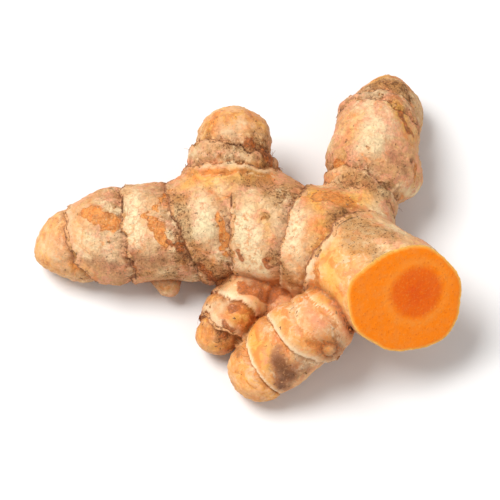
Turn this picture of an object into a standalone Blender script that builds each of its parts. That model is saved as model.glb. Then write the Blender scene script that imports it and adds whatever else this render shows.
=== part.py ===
"""A fresh turmeric rhizome, grown as one piece and cut across its thick end.

The trunk lies along X, with its growing tip at -X and its knife-cut end, lifted a little, at +X.
A knob and a hooked finger grow back from it (+Y), and a nub and a stub grow forward (-Y).
Metres, +Z up. The origin is on the surface that the piece rests on, under the middle of its box.
"""

import bmesh
import bpy
import numpy as np
from mathutils import Matrix, Vector

MM = 0.001

# Each limb grows from base to tip along stations of (x, y, z, radius), in mm. Its rings are the
# scars of its scale leaves: (distance along the limb, lean of the top, lean of the side, depth), where
# a lean carries that side of the ring towards the tip, and depth is the ring's share of the ledge. A
# ledge is the step down at a ring, a swell is how far the skin rises between two rings, and blend
# rounds the crease at its root.
LIMBS = {
    "trunk": {
        "stations": (
            (44.0, -30.0, 28.2, 11.0),
            (34.4, -20.9, 22.8, 11.3),
            (24.0, -11.0, 17.2, 11.9),
            (14.0, -3.4, 13.6, 12.2),
            (4.0, 0.3, 12.3, 12.3),
            (-6.0, 1.5, 11.7, 11.8),
            (-18.0, 1.0, 10.8, 10.8),
            (-28.0, 0.4, 10.4, 10.5),
            (-35.5, -0.2, 8.7, 8.7),
            (-40.2, -0.7, 7.3, 6.5),
            (-44.4, -1.5, 6.2, 3.1),
        ),
        "rings": (
            (34.0, 0.0, -1.4, 1.0),
            (46.5, 0.0, 1.2, 1.0),
            (60.5, 0.6, 0.8, 1.0),
            (70.4, 3.4, 2.2, 1.0),
            (84.5, 0.0, 0.6, 1.0),
            (93.9, 2.0, 0.6, 1.0),
        ),
        "ledge": 0.9,
        "swell": 0.7,
    },
    "knob": {
        "stations": (
            (-3.6, 2.8, 13.0, 9.9),
            (-3.6, 10.7, 15.0, 9.9),
            (-3.6, 16.0, 17.0, 9.3),
            (-3.8, 19.6, 17.6, 8.1),
        ),
        "rings": ((8.5, 0.5, -0.8, 0.4), (11.4, 0.3, -0.4, 0.8), (14.6, 1.0, -1.2, 1.0)),
        "ledge": 1.2,
        "swell": 0.6,
        "blend": 5.0,
    },
    "finger": {
        "stations": (
            (22.6, -2.1, 14.0, 8.6),
            (24.8, 8.3, 13.5, 8.0),
            (27.2, 17.4, 13.5, 9.4),
            (28.6, 25.2, 13.0, 9.1),
            (30.6, 31.2, 10.8, 7.8),
            (32.4, 32.4, 7.0, 7.0),
        ),
        "rings": (
            (8.4, 0.3, -1.4, 0.4),
            (12.0, 0.4, -1.8, 1.0),
            (27.1, 2.2, -0.4, 1.0),
            (31.8, 0.5, 0.5, 1.0),
        ),
        "ledge": 1.1,
        "swell": 0.6,
        "blend": 3.0,
    },
    "shoulder": {
        "stations": ((27.0, 13.5, 13.0, 7.0), (31.3, 14.2, 13.6, 6.2), (33.5, 14.6, 13.2, 5.2)),
        "blend": 2.5,
    },
    "nub": {
        "stations": (
            (22.0, -13.0, 14.0, 5.5),
            (17.8, -19.4, 14.8, 7.2),
            (13.6, -23.8, 14.2, 8.0),
            (7.6, -26.4, 10.0, 8.1),
            (3.0, -29.0, 6.9, 7.1),
            (2.0, -31.2, 6.1, 5.8),
        ),
        "rings": (
            (10.6, 0.0, -1.0, 0.4),
            (13.6, 0.0, 0.2, 0.35),
            (16.9, 1.4, 2.4, 0.75),
            (26.0, 1.4, -2.0, 0.65),
        ),
        "ledge": 1.4,
        "swell": 0.6,
        "blend": 1.2,
    },
    "stub": {
        "stations": (
            (3.0, -7.0, 7.6, 6.2),
            (-2.0, -15.6, 7.0, 6.6),
            (-4.6, -18.6, 6.6, 6.3),
            (-6.6, -21.3, 5.7, 4.6),
        ),
        "rings": ((11.0, 0.0, 0.4, 1.0), (16.2, 0.0, 0.4, 1.0)),
        "ledge": 0.9,
        "swell": 0.5,
        "blend": 1.6,
    },
    "crotch": {
        "stations": ((6.0, -13.0, 6.4, 6.0), (8.0, -16.0, 6.2, 5.6)),
        "blend": 2.0,
    },
    "tip_bud": {
        "stations": ((-18.8, -7.6, 6.4, 3.8), (-18.0, -9.6, 5.2, 2.9)),
        "blend": 1.5,
    },
    "nub_bud": {
        "stations": ((16.2, -27.6, 16.4, 3.0), (16.7, -29.3, 17.4, 2.0)),
        "blend": 0.8,
    },
}

# The knife cut across the trunk.
CUT_POINT = (33.6, -20.1, 22.3)
CUT_NORMAL = (0.32, -0.66, 0.68)

# Shallow hollows of the skin: the middle of each, its reach and its depth, in mm.
HOLLOWS = (
    ((28.4, -14.5, 30.2), 8.0, 1.1),
    ((-11.0, -9.0, 17.0), 6.0, 0.5),
    ((8.0, 2.0, 25.0), 7.0, 0.6),
    ((16.0, -30.5, 8.0), 5.0, 0.6),
)

# The middle of the piece's box in the stations' own axes, which is moved to the origin.
MIDDLE = (-1.088, 1.479, 0.0)

# How the skin steps along a limb, in mm: the width of a ledge, the height and reach of the lip
# before it, and the share of the way to the next ring over which the skin fills out again.
LEDGE_WIDTH = 1.2
LIP = 0.3
LIP_REACH = 1.5
RECOVERY = 0.38

# A ring wavers round its limb: (height in mm, waves in a turn, shift of phase from ring to ring).
WAVERS = ((0.45, 3, 2.1), (0.15, 5, 1.3))

# Slow lumps of the whole piece: (height in mm, waves along x, y and z in radians per mm, phase).
LUMPS = (
    (0.22, (0.21, 0.42, 0.17), 0.5),
    (0.20, (0.25, -0.16, -0.19), 2.6),
    (0.13, (-0.52, 0.31, 0.36), 1.9),
    (0.12, (-0.14, 0.63, -0.41), 4.1),
)

# Mesh sizes: steps, balls and voxels in mm, then the triangles kept and the sharpest smooth edge.
SPINE_STEP = 0.5
BALL_STEP = 2.0
BALL_DETAIL = 3
VOXEL = 0.7
SNAP_ROUNDS = 3
TRIANGLES = 11800
SHARP_ANGLE = 0.7

# The scar-less stretch taken to lie before a limb's base and past its tip, in mm.
BEFORE_BASE = 8.0
PAST_TIP = 2.0

SKIN_COLOUR = (0.72, 0.44, 0.24, 1.0)
SKIN_ROUGHNESS = 0.62


def smooth_spine(stations):
    """Points, radii and unit directions every SPINE_STEP along a Catmull-Rom curve through the stations."""
    knots = np.array(stations, float)
    before = 2 * knots[0] - knots[1]
    after = 2 * knots[-1] - knots[-2]
    knots = np.vstack([before, knots, after])
    fine = []
    for a, b, c, d in zip(knots, knots[1:], knots[2:], knots[3:]):
        count = max(2, int(np.linalg.norm(c[:3] - b[:3]) / (SPINE_STEP / 4)))
        t = np.linspace(0, 1, count, endpoint=False)[:, None]
        square = 2 * a - 5 * b + 4 * c - d
        cube = 3 * b - a - 3 * c + d
        fine.append(0.5 * (2 * b + (c - a) * t + square * t**2 + cube * t**3))
    fine = np.vstack(fine + [knots[-2][None]])
    lengths = np.concatenate([[0], np.cumsum(np.linalg.norm(np.diff(fine[:, :3], axis=0), axis=1))])
    at = np.arange(0, lengths[-1], SPINE_STEP)
    even = np.stack([np.interp(at, lengths, fine[:, k]) for k in range(4)], axis=1)
    along = np.gradient(even[:, :3], axis=0)
    along /= np.linalg.norm(along, axis=1, keepdims=True)
    return even[:, :3], even[:, 3], along


class Limb:
    """One limb of the rhizome, as a chain of balls along its spine with a relief of rings on it."""

    def __init__(self, stations, rings=(), ledge=0.0, swell=0.0, blend=0.0):
        self.points, self.radii, self.along = smooth_spine(stations)
        self.rings, self.ledge, self.swell, self.blend = rings, ledge, swell, blend
        up = np.array([0.0, 0.0, 1.0])
        top = up - (self.along @ up)[:, None] * self.along
        self.top = top / np.linalg.norm(top, axis=1, keepdims=True)
        self.side = np.cross(self.along, self.top)

    def place(self, where):
        """For each point: its nearest ball, the way out from that ball, and the gap to its surface."""
        away = where[:, None, :] - self.points[None]
        reach = np.linalg.norm(away, axis=2)
        nearest = np.argmin(reach - self.radii, axis=1)
        rows = np.arange(len(where))
        out = away[rows, nearest]
        distance = reach[rows, nearest]
        return nearest, out, distance

    def relief(self, nearest, out):
        """Height of the skin over the plain limb: a step down at each ring, and a swell between rings."""
        along = nearest * SPINE_STEP + np.einsum("ij,ij->i", out, self.along[nearest])
        turn = np.arctan2(
            np.einsum("ij,ij->i", out, self.side[nearest]), np.einsum("ij,ij->i", out, self.top[nearest])
        )
        edges = [np.full(len(turn), -BEFORE_BASE)]
        for number, (distance, lean_top, lean_side, _) in enumerate(self.rings):
            waver = sum(height * np.sin(waves * turn + shift * number) for height, waves, shift in WAVERS)
            edges.append(distance + lean_top * np.cos(turn) + lean_side * np.sin(turn) + waver)
        edges.append(np.full(len(turn), len(self.radii) * SPINE_STEP + self.radii[-1] + PAST_TIP))
        edges = np.sort(np.stack(edges, axis=1), axis=1)
        passed = (along[:, None] >= edges[:, :-1]).sum(axis=1).clip(1, edges.shape[1] - 1)
        rows = np.arange(len(turn))
        start, end = edges[rows, passed - 1], edges[rows, passed]
        after, before = along - start, end - along
        length = end - start
        share = (after / length).clip(0, 1)
        depths = np.array([0.0, *(ring[3] for ring in self.rings), 1.0])
        own, ahead = depths[passed - 1], depths[passed]
        sunk = -self.ledge * own * np.exp(-after.clip(0) / (RECOVERY * length))
        step = (after / LEDGE_WIDTH).clip(0, 1)
        step = step * step * (3 - 2 * step)
        lip = LIP * ahead * np.exp(-((before / LIP_REACH) ** 2))
        return LIP * own * (1 - step) + step * sunk + lip + self.swell * 4 * share * (1 - share)


def unevenness(where):
    """Height of the slow lumps, as a sum of waves, less the hollows."""
    height = sum(size * np.sin(where @ np.array(waves) + phase) for size, waves, phase in LUMPS)
    for middle, reach, depth in HOLLOWS:
        height -= depth * np.exp(-((np.linalg.norm(where - middle, axis=1) / reach) ** 2))
    return height


def gap_to_skin(where, limbs):
    """Signed distance to the skin, and the way out of it, for points in mm."""
    gap, way = None, None
    for limb in limbs:
        nearest, out, distance = limb.place(where)
        own_gap = distance - limb.radii[nearest] - limb.relief(nearest, out)
        own_way = out / np.maximum(distance, 1e-6)[:, None]
        if gap is None:
            gap, way = own_gap, own_way
            continue
        overlap = np.maximum(limb.blend - np.abs(gap - own_gap), 0) / limb.blend
        share = np.where(own_gap < gap, 1 - overlap / 2, overlap / 2)[:, None]
        gap = np.minimum(gap, own_gap) - overlap**2 * limb.blend / 4
        way = way * (1 - share) + own_way * share
        way /= np.linalg.norm(way, axis=1, keepdims=True)
    return gap - unevenness(where), way


def rough_body(limbs):
    """The limbs as overlapping balls, made one even mesh by a voxel Remesh."""
    bm = bmesh.new()
    every = int(BALL_STEP / SPINE_STEP)
    for limb in limbs:
        picked = sorted(set(range(0, len(limb.radii), every)) | {len(limb.radii) - 1})
        for index in picked:
            place = Matrix.Translation(Vector(limb.points[index]) * MM)
            radius = limb.radii[index] * MM
            bmesh.ops.create_icosphere(bm, subdivisions=BALL_DETAIL, radius=radius, matrix=place)
    mesh = bpy.data.meshes.new("turmeric_root")
    bm.to_mesh(mesh)
    bm.free()
    body = bpy.data.objects.new("turmeric_root", mesh)
    remesh = body.modifiers.new("one_skin", "REMESH")
    remesh.mode = "VOXEL"
    remesh.voxel_size = VOXEL * MM
    return body


def apply_modifiers(body):
    """Swaps the object's mesh for the one that its modifiers make, and removes them."""
    graph = bpy.context.evaluated_depsgraph_get()
    made = bpy.data.meshes.new_from_object(body.evaluated_get(graph))
    body.modifiers.clear()
    body.data = made
    made.name = body.name


def shape_skin(body, limbs):
    """Moves each vertex to the formula's skin."""
    mesh = body.data
    where = np.empty(len(mesh.vertices) * 3)
    mesh.vertices.foreach_get("co", where)
    where = where.reshape(-1, 3) / MM
    for _ in range(SNAP_ROUNDS):
        gap, way = gap_to_skin(where, limbs)
        where -= gap[:, None] * way
    mesh.vertices.foreach_set("co", (where * MM).ravel())
    mesh.update()


def lighten(body):
    """Collapses the mesh to its triangle budget, keeping most of them at the ledges."""
    faces = sum(len(polygon.vertices) - 2 for polygon in body.data.polygons)
    decimate = body.modifiers.new("fewer_faces", "DECIMATE")
    decimate.ratio = TRIANGLES / faces
    apply_modifiers(body)


def slice_flat(body, point, normal):
    """Cuts off what lies beyond a plane and closes the cut with a flat face."""
    bm = bmesh.new()
    bm.from_mesh(body.data)
    geometry = bm.verts[:] + bm.edges[:] + bm.faces[:]
    cut = bmesh.ops.bisect_plane(
        bm, geom=geometry, dist=1e-6, plane_co=point, plane_no=normal, clear_outer=True
    )
    rim = [item for item in cut["geom_cut"] if isinstance(item, bmesh.types.BMEdge)]
    bmesh.ops.holes_fill(bm, edges=rim)
    bmesh.ops.recalc_face_normals(bm, faces=bm.faces)
    bm.to_mesh(body.data)
    bm.free()


def skin_material():
    material = bpy.data.materials.new("turmeric_skin")
    material.use_nodes = True
    shader = material.node_tree.nodes["Principled BSDF"]
    shader.inputs["Base Color"].default_value = SKIN_COLOUR
    shader.inputs["Roughness"].default_value = SKIN_ROUGHNESS
    shader.inputs["Metallic"].default_value = 0.0
    return material


def main():
    for obj in list(bpy.data.objects):
        bpy.data.objects.remove(obj)
    collection = bpy.data.collections.new("turmeric_rhizome")
    bpy.context.scene.collection.children.link(collection)
    limbs = [Limb(**facts) for facts in LIMBS.values()]
    body = rough_body(limbs)
    collection.objects.link(body)
    bpy.context.view_layer.update()
    apply_modifiers(body)
    shape_skin(body, limbs)
    lighten(body)
    slice_flat(body, Vector(CUT_POINT) * MM, Vector(CUT_NORMAL).normalized())
    slice_flat(body, Vector((0, 0, 0)), Vector((0, 0, -1)))
    body.data.transform(Matrix.Translation(-Vector(MIDDLE) * MM))
    body.data.materials.append(skin_material())
    body.data.shade_smooth()
    body.data.set_sharp_from_angle(angle=SHARP_ANGLE)


main()
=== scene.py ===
"""Looks of a fresh turmeric rhizome, laid out as a Blender add-on and run as a script.

The skin is grown again from the same limbs as the solid, finer, with its ragged scale scars, wrinkles,
rubbed patches and root scars. On it lie the knife-cut face, the papery margins of the scale leaves, loose
flakes, root fibres and soil. Lengths inside the functions are in mm in the row's frame, until a mesh is
written in metres.
"""

import math

import bmesh
import bpy
import numpy as np
from bpy.props import FloatProperty, FloatVectorProperty, IntProperty, PointerProperty
from mathutils import Matrix, Vector, noise


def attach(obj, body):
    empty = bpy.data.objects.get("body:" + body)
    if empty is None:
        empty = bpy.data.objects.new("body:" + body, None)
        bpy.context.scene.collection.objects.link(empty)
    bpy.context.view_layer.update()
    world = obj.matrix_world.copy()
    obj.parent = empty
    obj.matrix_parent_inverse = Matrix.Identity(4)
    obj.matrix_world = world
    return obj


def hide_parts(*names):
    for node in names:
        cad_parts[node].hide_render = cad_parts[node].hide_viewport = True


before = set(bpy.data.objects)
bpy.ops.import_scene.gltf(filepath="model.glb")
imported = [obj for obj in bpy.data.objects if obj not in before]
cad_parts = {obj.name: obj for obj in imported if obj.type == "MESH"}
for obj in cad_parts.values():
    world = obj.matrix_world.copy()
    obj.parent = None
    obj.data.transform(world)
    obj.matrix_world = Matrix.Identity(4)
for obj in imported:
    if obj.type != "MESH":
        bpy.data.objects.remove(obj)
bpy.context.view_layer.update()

bl_info = {
    "name": "Turmeric rhizome",
    "version": (1, 0, 0),
    "blender": (4, 5, 0),
    "location": "3D View > Sidebar > Rhizome",
    "description": "Grows the skin, cut face, scale margins, fibres and soil of a turmeric rhizome",
    "category": "Object",
}

MM = 0.001
BODY = "root"
NODE = "turmeric_root"

# The limbs of the solid, with sharper creases at the nub and the stub: stations of (x, y, z, radius) from
# base to tip, rings of (distance, lean of the top, lean of the side, share of the ledge), the depth of the
# ledge, the swell between rings, the blend at the root and how far the edges of the rings are torn.
LIMBS = {
    "trunk": {
        "stations": (
            (44.0, -30.0, 28.2, 11.0), (34.4, -20.9, 22.8, 11.3), (24.0, -11.0, 17.2, 11.9),
            (14.0, -3.4, 13.6, 12.2), (4.0, 0.3, 12.3, 12.3), (-6.0, 1.5, 11.7, 11.8),
            (-18.0, 1.0, 10.8, 10.8), (-28.0, 0.4, 10.4, 10.5), (-35.5, -0.2, 8.7, 8.7),
            (-40.2, -0.7, 7.3, 6.5), (-44.4, -1.5, 6.2, 3.1),
        ),
        "rings": (
            (34.0, 0.0, -1.4, 1.0), (46.5, 0.0, 1.2, 1.0), (60.5, 0.6, 0.8, 1.0), (70.4, 3.4, 2.2, 1.0),
            (84.5, 0.0, 0.6, 1.0), (93.9, 2.0, 0.6, 1.0),
        ),
        "ledge": 0.9, "swell": 0.7,
    },
    "knob": {
        "stations": (
            (-3.6, 2.8, 13.0, 9.9), (-3.6, 10.7, 15.0, 9.9), (-3.6, 16.0, 17.0, 9.3),
            (-3.8, 19.6, 17.6, 8.1),
        ),
        "rings": ((8.5, 0.5, -0.8, 0.4), (11.4, 0.3, -0.4, 0.8), (14.6, 1.0, -1.2, 1.0)),
        "ledge": 1.2, "swell": 0.6, "blend": 5.0,
    },
    "finger": {
        "stations": (
            (22.6, -2.1, 14.0, 8.6), (24.8, 8.3, 13.5, 8.0), (27.2, 17.4, 13.5, 9.4),
            (28.6, 25.2, 13.0, 9.1), (30.6, 31.2, 10.8, 7.8), (32.4, 32.4, 7.0, 7.0),
        ),
        "rings": (
            (8.4, 0.3, -1.4, 0.4), (12.0, 0.4, -1.8, 1.0), (27.1, 2.2, -0.4, 1.0), (31.8, 0.5, 0.5, 1.0),
        ),
        "ledge": 1.1, "swell": 0.6, "blend": 3.0,
    },
    "shoulder": {
        "stations": ((27.0, 13.5, 13.0, 7.0), (31.3, 14.2, 13.6, 6.2), (33.5, 14.6, 13.2, 5.2)),
        "blend": 2.5,
    },
    "nub": {
        "stations": (
            (22.0, -13.0, 14.0, 5.5), (17.8, -19.4, 14.8, 7.2), (13.6, -23.8, 14.2, 8.0),
            (7.6, -26.4, 10.0, 8.1), (3.0, -29.0, 6.9, 7.1), (2.0, -31.2, 6.1, 5.8),
        ),
        "rings": (
            (10.6, 0.0, -1.0, 0.4), (13.6, 0.0, 0.2, 0.35), (16.9, 1.4, 2.4, 0.75), (26.0, 1.4, -2.0, 0.65),
        ),
        "ledge": 1.4, "swell": 0.6, "blend": 0.8, "tear": 0.25,
    },
    "stub": {
        "stations": (
            (3.0, -7.0, 7.6, 6.2), (-2.0, -15.6, 7.0, 6.6), (-4.6, -18.6, 6.6, 6.3),
            (-6.6, -21.3, 5.7, 4.6),
        ),
        "rings": ((11.0, 0.0, 0.4, 1.0), (16.2, 0.0, 0.4, 1.0)),
        "ledge": 0.9, "swell": 0.5, "blend": 0.9, "tear": 0.5,
    },
    "crotch": {
        "stations": ((6.0, -13.0, 6.4, 6.0), (8.0, -16.0, 6.2, 5.6)),
        "blend": 2.0,
    },
    "tip_bud": {
        "stations": ((-18.8, -7.6, 6.4, 3.8), (-18.0, -9.6, 5.2, 2.9)),
        "blend": 1.5,
    },
    "nub_bud": {
        "stations": ((16.2, -27.6, 16.4, 3.0), (16.7, -29.3, 17.4, 2.0)),
        "blend": 0.8,
    },
}

# The plane of the knife cut, and the bud beside it that the cut spares.
CUT_POINT = (33.6, -20.1, 22.3)
CUT_NORMAL = (0.32, -0.66, 0.68)
BUD_BESIDE_CUT = (17.4, -29.6, 17.5)
BUD_REACH = 5.0

# Hollows of the skin as (middle, reach, depth), and its slow lumps as (height, waves, phase).
HOLLOWS = (
    ((28.4, -14.5, 30.2), 8.0, 1.1),
    ((-11.0, -9.0, 17.0), 6.0, 0.5),
    ((8.0, 2.0, 25.0), 7.0, 0.6),
    ((16.0, -30.5, 8.0), 5.0, 0.6),
)
LUMPS = (
    (0.22, (0.21, 0.42, 0.17), 0.5),
    (0.20, (0.25, -0.16, -0.19), 2.6),
    (0.13, (-0.52, 0.31, 0.36), 1.9),
    (0.12, (-0.14, 0.63, -0.41), 4.1),
)

# The origin of the row's frame, and that of the places, furrows and scars below, in the limbs' own axes.
MIDDLE = np.array((-1.088, 1.479, 0.0))
PLACES_ORIGIN = np.array((-0.685, 0.335, 0.0))

# How a ring wavers round its limb, and how its edge is torn: (height, waves, shift of phase).
WAVERS = ((0.45, 3, 2.1), (0.15, 5, 1.3))
TEARS = ((0.24, 8, 0.7), (0.20, 13, 2.9), (0.13, 21, 1.7), (0.08, 34, 0.4))

# The step along a spine, the balls that a limb is first made of, and how often points snap to the skin.
SPINE_STEP = 0.5
BALL_STEP = 2.0
BALL_DETAIL = 3
SNAP_ROUNDS = 3
POINTS_AT_ONCE = 8192

# Reaches in mm: of a limb before its base and past its tip, of the blends that leave a crease and the crease,
# and of the painted shadow line and the stain after a ring and the rim before it; the stain is partly dirt and
# partly painted shade.
BEFORE_BASE = 8.0
PAST_TIP = 2.0
SOFT_BLEND = 2.2
CREASE_REACH = 0.9
SHADOW_REACH, TRAIL_REACH, RIM_REACH = 0.5, 3.4, 1.0

# The step of the growth lines, how soon a limb is thick again after a ring, how far noise tears the places'
# outlines, a root scar's rim and pit, and the angle from which an edge is shaded sharp.
GROWTH_LINE_STEP = 1.9
RECOVERY = 0.38
TORN_REACH = 1.5
SCAR_RIM, SCAR_PIT = 0.28, 0.35
SHARP_ANGLE = 1.1

# Rows of a papery margin: the share of its reach and its lift off the skin. Then the step between its points,
# the least height over the floor, how far back it is rooted, and the least reach that is shown.
MARGIN_ROWS = ((-1, -0.10), (0.0, 0.04), (0.5, 0.05), (1.0, 0.02))
MARGIN_STEP = 0.24
MARGIN_CLEAR = 1.0
MARGIN_ROOT, MARGIN_LEAST = 0.3, 0.12

# The cut face: its points round the rim, its rings, how deep its slab reaches, its height at the middle, where
# its rim is frayed, and the middle of its core.
FACE_POINTS = 192
FACE_RINGS = 36
FACE_DEPTH, FACE_HEIGHT = 0.3, 0.38
FRAYED_RIM = (28.4, -14.5, 30.2)
STELE = (36.6, -19.7, 22.0)

# Flakes and root fibres on a square mm of the skin where they are densest.
FIBRE_DENSITY = 0.35
FLAKE_DENSITY = 0.16

# The camera looks along +Y from this height over the horizon, and from this distance.
CAMERA_ELEVATION = math.radians(65)
CAMERA_DISTANCE = 0.6
CAMERA_CLIP = (0.01, 10.0)
SENSOR = 36.0
VIEW_WIDTH = 0.1104
AIM_RIGHT, AIM_UP, AIM_NEAR = 0.0012, 0.0002, 0.0125
FLOOR_SIZE = 1.6

# The soft lights: name, place and width in metres, power. Then the strength of the white world.
LIGHTS = (("key_light", (-0.42, 0.12, 0.90), 0.5, 10.1), ("fill_light", (0.6, -0.7, 0.7), 0.9, 2.2))
WORLD_STRENGTH = 0.42

# Furrows that run along the growing tip: the points of each, its width and its depth.
FURROWS = (
    (((-44.5, 0.2, 8.0), (-40.5, 1.6, 11.0), (-37.5, 2.4, 14.0)), 0.5, 0.25),
    (((-44.0, -4.0, 8.6), (-40.0, -5.4, 10.5), (-37.0, -6.8, 10.8)), 0.5, 0.3),
)

# Places on the skin: the points of a short path, its reach and its strength. Bare skin is rubbed down to the
# orange layer.
BARE = (
    (((-34.4, 1.4, 19.4), (-30.0, -2.0, 20.6)), 2.4, 1.0),
    (((-18.2, 5.1, 21.0), (-20.2, 2.6, 21.6), (-22.1, -0.1, 21.7), (-20.1, -0.9, 21.7)), 1.0, 0.8),
    (((-19.6, -2.9, 21.3), (-18.0, -5.6, 20.2)), 1.9, 1.0),
    (((-5.5, -1.9, 23.6), (-4.6, -4.2, 22.9), (-4.9, -6.5, 21.3), (-4.3, -8.8, 19.0)), 1.4, 1.0),
    (((3.6, -2.4, 24.9), (2.4, -3.6, 24.6)), 1.3, 0.55),
    (((-9.1, 8.9, 23.4), (-5.1, 8.6, 25.0), (-1.2, 8.8, 25.2)), 1.2, 0.8),
    (((17.0, 3.6, 23.6), (21.0, 2.2, 24.2)), 3.2, 0.8),
    (((16.0, -10.6, 26.6), (14.8, -15.3, 23.7), (13.7, -18.6, 20.0)), 1.0, 1.0),
    (((25.2, 21.7, 22.6), (25.6, 21.6, 22.8)), 0.9, 0.75),
    (((28.0, 21.4, 23.2), (29.4, 20.8, 23.3)), 1.1, 0.62),
    (((19.3, 14.6, 18.4), (20.6, 12.0, 19.6)), 1.4, 0.6),
    (((13.2, -29.0, 21.0), (15.1, -30.2, 19.9)), 0.9, 0.75),
    (((-9.5, -21.0, 9.6), (-8.6, -23.8, 9.0)), 1.5, 0.7),
    (((37.3, 13.3, 17.9), (36.9, 10.4, 16.6)), 1.4, 0.7),
    (((-7.6, 20.8, 24.4), (-6.0, 23.4, 23.6)), 1.7, 0.75),
    (((0.6, 22.6, 24.2), (2.6, 20.2, 24.0)), 1.3, 0.7),
    (((-37.6, -8.6, 10.8), (-34.9, -9.6, 10.2)), 1.4, 0.6),
)
# Soil dust. The place at the lower end of the third ring, by the crease to the stub, is partly dust and partly
# painted shade.
SOIL_AND_SHADE = (
    (((-0.4, 7.0, 24.4), (3.6, 6.4, 24.0), (8.0, 3.6, 24.4)), 3.6, 0.9),
    (((-14.6, 3.5, 22.3), (-13.6, -3.5, 21.6), (-12.0, -7.4, 19.0)), 2.6, 1.0),
    # Partly dust and partly painted shade by the crease between the trunk and the stub.
    (((-12.6, -8.0, 18.0), (-9.6, -10.0, 15.0), (-5.6, -10.9, 13.0)), 3.0, 1.3),
    (((5.6, -10.0, 20.8), (8.2, -12.0, 20.4), (9.8, -14.8, 17.8)), 1.9, 1.0),
    (((3.9, -1.6, 24.9), (4.7, -2.5, 24.9)), 0.9, 1.0),
    (((20.6, -3.6, 26.6), (25.4, -6.2, 28.0), (30.0, -8.6, 28.8)), 3.6, 1.1),
    (((22.1, -9.7, 29.1), (25.1, -12.9, 30.5), (27.3, -15.1, 31.6)), 3.0, 1.1),
    (((20.7, 8.0, 20.8), (25.4, 7.6, 21.6), (31.1, 6.6, 19.7)), 2.2, 0.9),
    (((-23.6, -9.0, 13.0), (-17.0, -9.8, 12.4)), 2.8, 0.75),
    (((-11.5, 4.9, 22.4), (-10.3, 6.4, 22.0)), 1.0, 1.0),
    (((-8.9, 5.6, 22.6), (-8.3, 5.7, 22.7)), 0.8, 1.0),
    (((27.3, 34.0, 17.9), (30.6, 34.8, 18.2), (36.2, 32.6, 16.8)), 2.8, 1.0),
    (((2.6, 16.0, 24.0), (3.8, 11.8, 22.4)), 2.6, 0.9),
    (((-8.0, 14.2, 23.8), (-3.0, 13.4, 25.4), (2.0, 14.6, 24.6)), 1.5, 1.0),
    (((-9.9, 10.8, 22.8), (-5.9, 10.5, 25.2), (-1.6, 11.1, 25.8)), 0.9, 0.9),
    (((-5.9, -23.5, 11.2), (-3.5, -25.2, 9.2)), 1.8, 0.9),
)
# Pale cream skin; on the top of the trunk's middle segments these places also paint a highlight.
PALE_SKIN_AND_HIGHLIGHTS = (
    (((-30.4, -6.3, 18.3),), 3.6, 0.8),
    (((-24.0, 4.0, 19.8), (-24.0, -2.0, 21.0), (-24.6, -5.0, 19.6)), 2.8, 1.0),
    (((-43.4, -3.4, 11.6), (-39.8, -6.0, 11.6)), 2.2, 0.9),
    (((-9.8, 1.0, 24.0), (-9.4, -5.0, 22.6)), 3.4, 0.9),
    (((-0.4, -2.8, 23.8), (0.6, -8.0, 22.2), (2.0, -11.2, 17.8)), 3.3, 1.2),
    (((10.2, -2.6, 25.4), (10.6, -9.6, 24.2)), 3.4, 1.0),
    (((23.5, 14.3, 22.1), (27.4, 17.0, 23.4)), 3.4, 0.7),
    (((-4.7, -14.3, 12.8), (-3.2, -15.8, 13.7)), 1.3, 1.0),
    (((-7.1, -17.5, 12.4), (-5.1, -18.6, 13.3)), 1.5, 1.0),
    (((9.7, -22.2, 20.9), (10.5, -25.0, 21.6), (11.3, -27.4, 21.4)), 1.1, 0.9),
    (((-7.4, 17.9, 25.2), (-2.0, 18.7, 26.4), (1.6, 20.4, 25.4)), 1.6, 1.0),
    (((23.6, 31.6, 16.8), (27.1, 31.3, 20.1), (31.1, 30.4, 20.9)), 1.3, 0.7),
    (((11.3, -32.4, 17.3), (14.6, -33.0, 15.4)), 1.6, 0.8),
    (((0.4, -34.3, 11.5), (2.0, -36.2, 10.0)), 1.7, 0.7),
    (((-0.8, -30.6, 12.8),), 1.0, 0.8),
)
FLUSH = (
    (((16.0, -11.0, 26.6), (18.2, -15.2, 26.2), (19.4, -19.4, 25.2), (18.4, -22.0, 22.8)), 3.4, 0.95),
    (((1.0, -19.6, 11.6), (-0.2, -22.0, 13.0), (1.2, -26.4, 15.0), (3.1, -31.0, 15.4)), 3.4, 1.3),
    (((-8.4, 20.4, 24.0), (-6.4, 23.6, 22.8)), 2.6, 1.2),
    (((0.4, 24.4, 22.6), (2.4, 22.0, 23.4)), 2.2, 1.1),
    (((12.0, -28.6, 21.2), (6.6, -24.0, 19.2)), 2.6, 0.6),
    (((16.4, -30.0, 19.6),), 1.8, 0.9),
    (((15.4, 4.0, 23.0), (22.6, 2.4, 24.0)), 4.6, 1.1),
    (((15.6, 2.0, 24.6), (16.0, -6.0, 26.0), (16.4, -11.0, 26.6)), 2.2, 1.0),
    (((33.5, 26.5, 20.5), (35.6, 22.0, 19.6)), 2.4, 1.1),
    (((3.0, -1.0, 24.4), (4.8, -6.4, 23.0)), 1.8, 0.6),
    (((-12.0, 8.0, 22.0), (-1.6, 7.9, 25.5), (3.0, 9.6, 23.8)), 2.4, 0.9),
    (((21.2, 13.1, 20.1), (23.6, 21.0, 21.6)), 3.0, 0.6),
    (((27.0, 36.0, 15.5), (31.5, 37.4, 14.6), (36.0, 35.2, 14.0)), 1.8, 1.2),
    (((-10.3, -20.7, 8.6), (-9.1, -23.8, 8.8), (-4.4, -26.0, 6.4)), 2.2, 0.9),
    (((-7.1, -15.5, 11.7),), 1.2, 1.0),
    (((36.6, 30.0, 18.0), (37.0, 24.0, 17.0)), 3.6, 0.4),
    (((-35.8, -7.6, 11.0), (-38.0, -5.0, 13.0)), 2.4, 0.5),
    (((-2.7, -29.7, 10.7), (-1.6, -33.8, 10.3), (2.2, -37.0, 7.6)), 2.0, 0.9),
)
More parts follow.
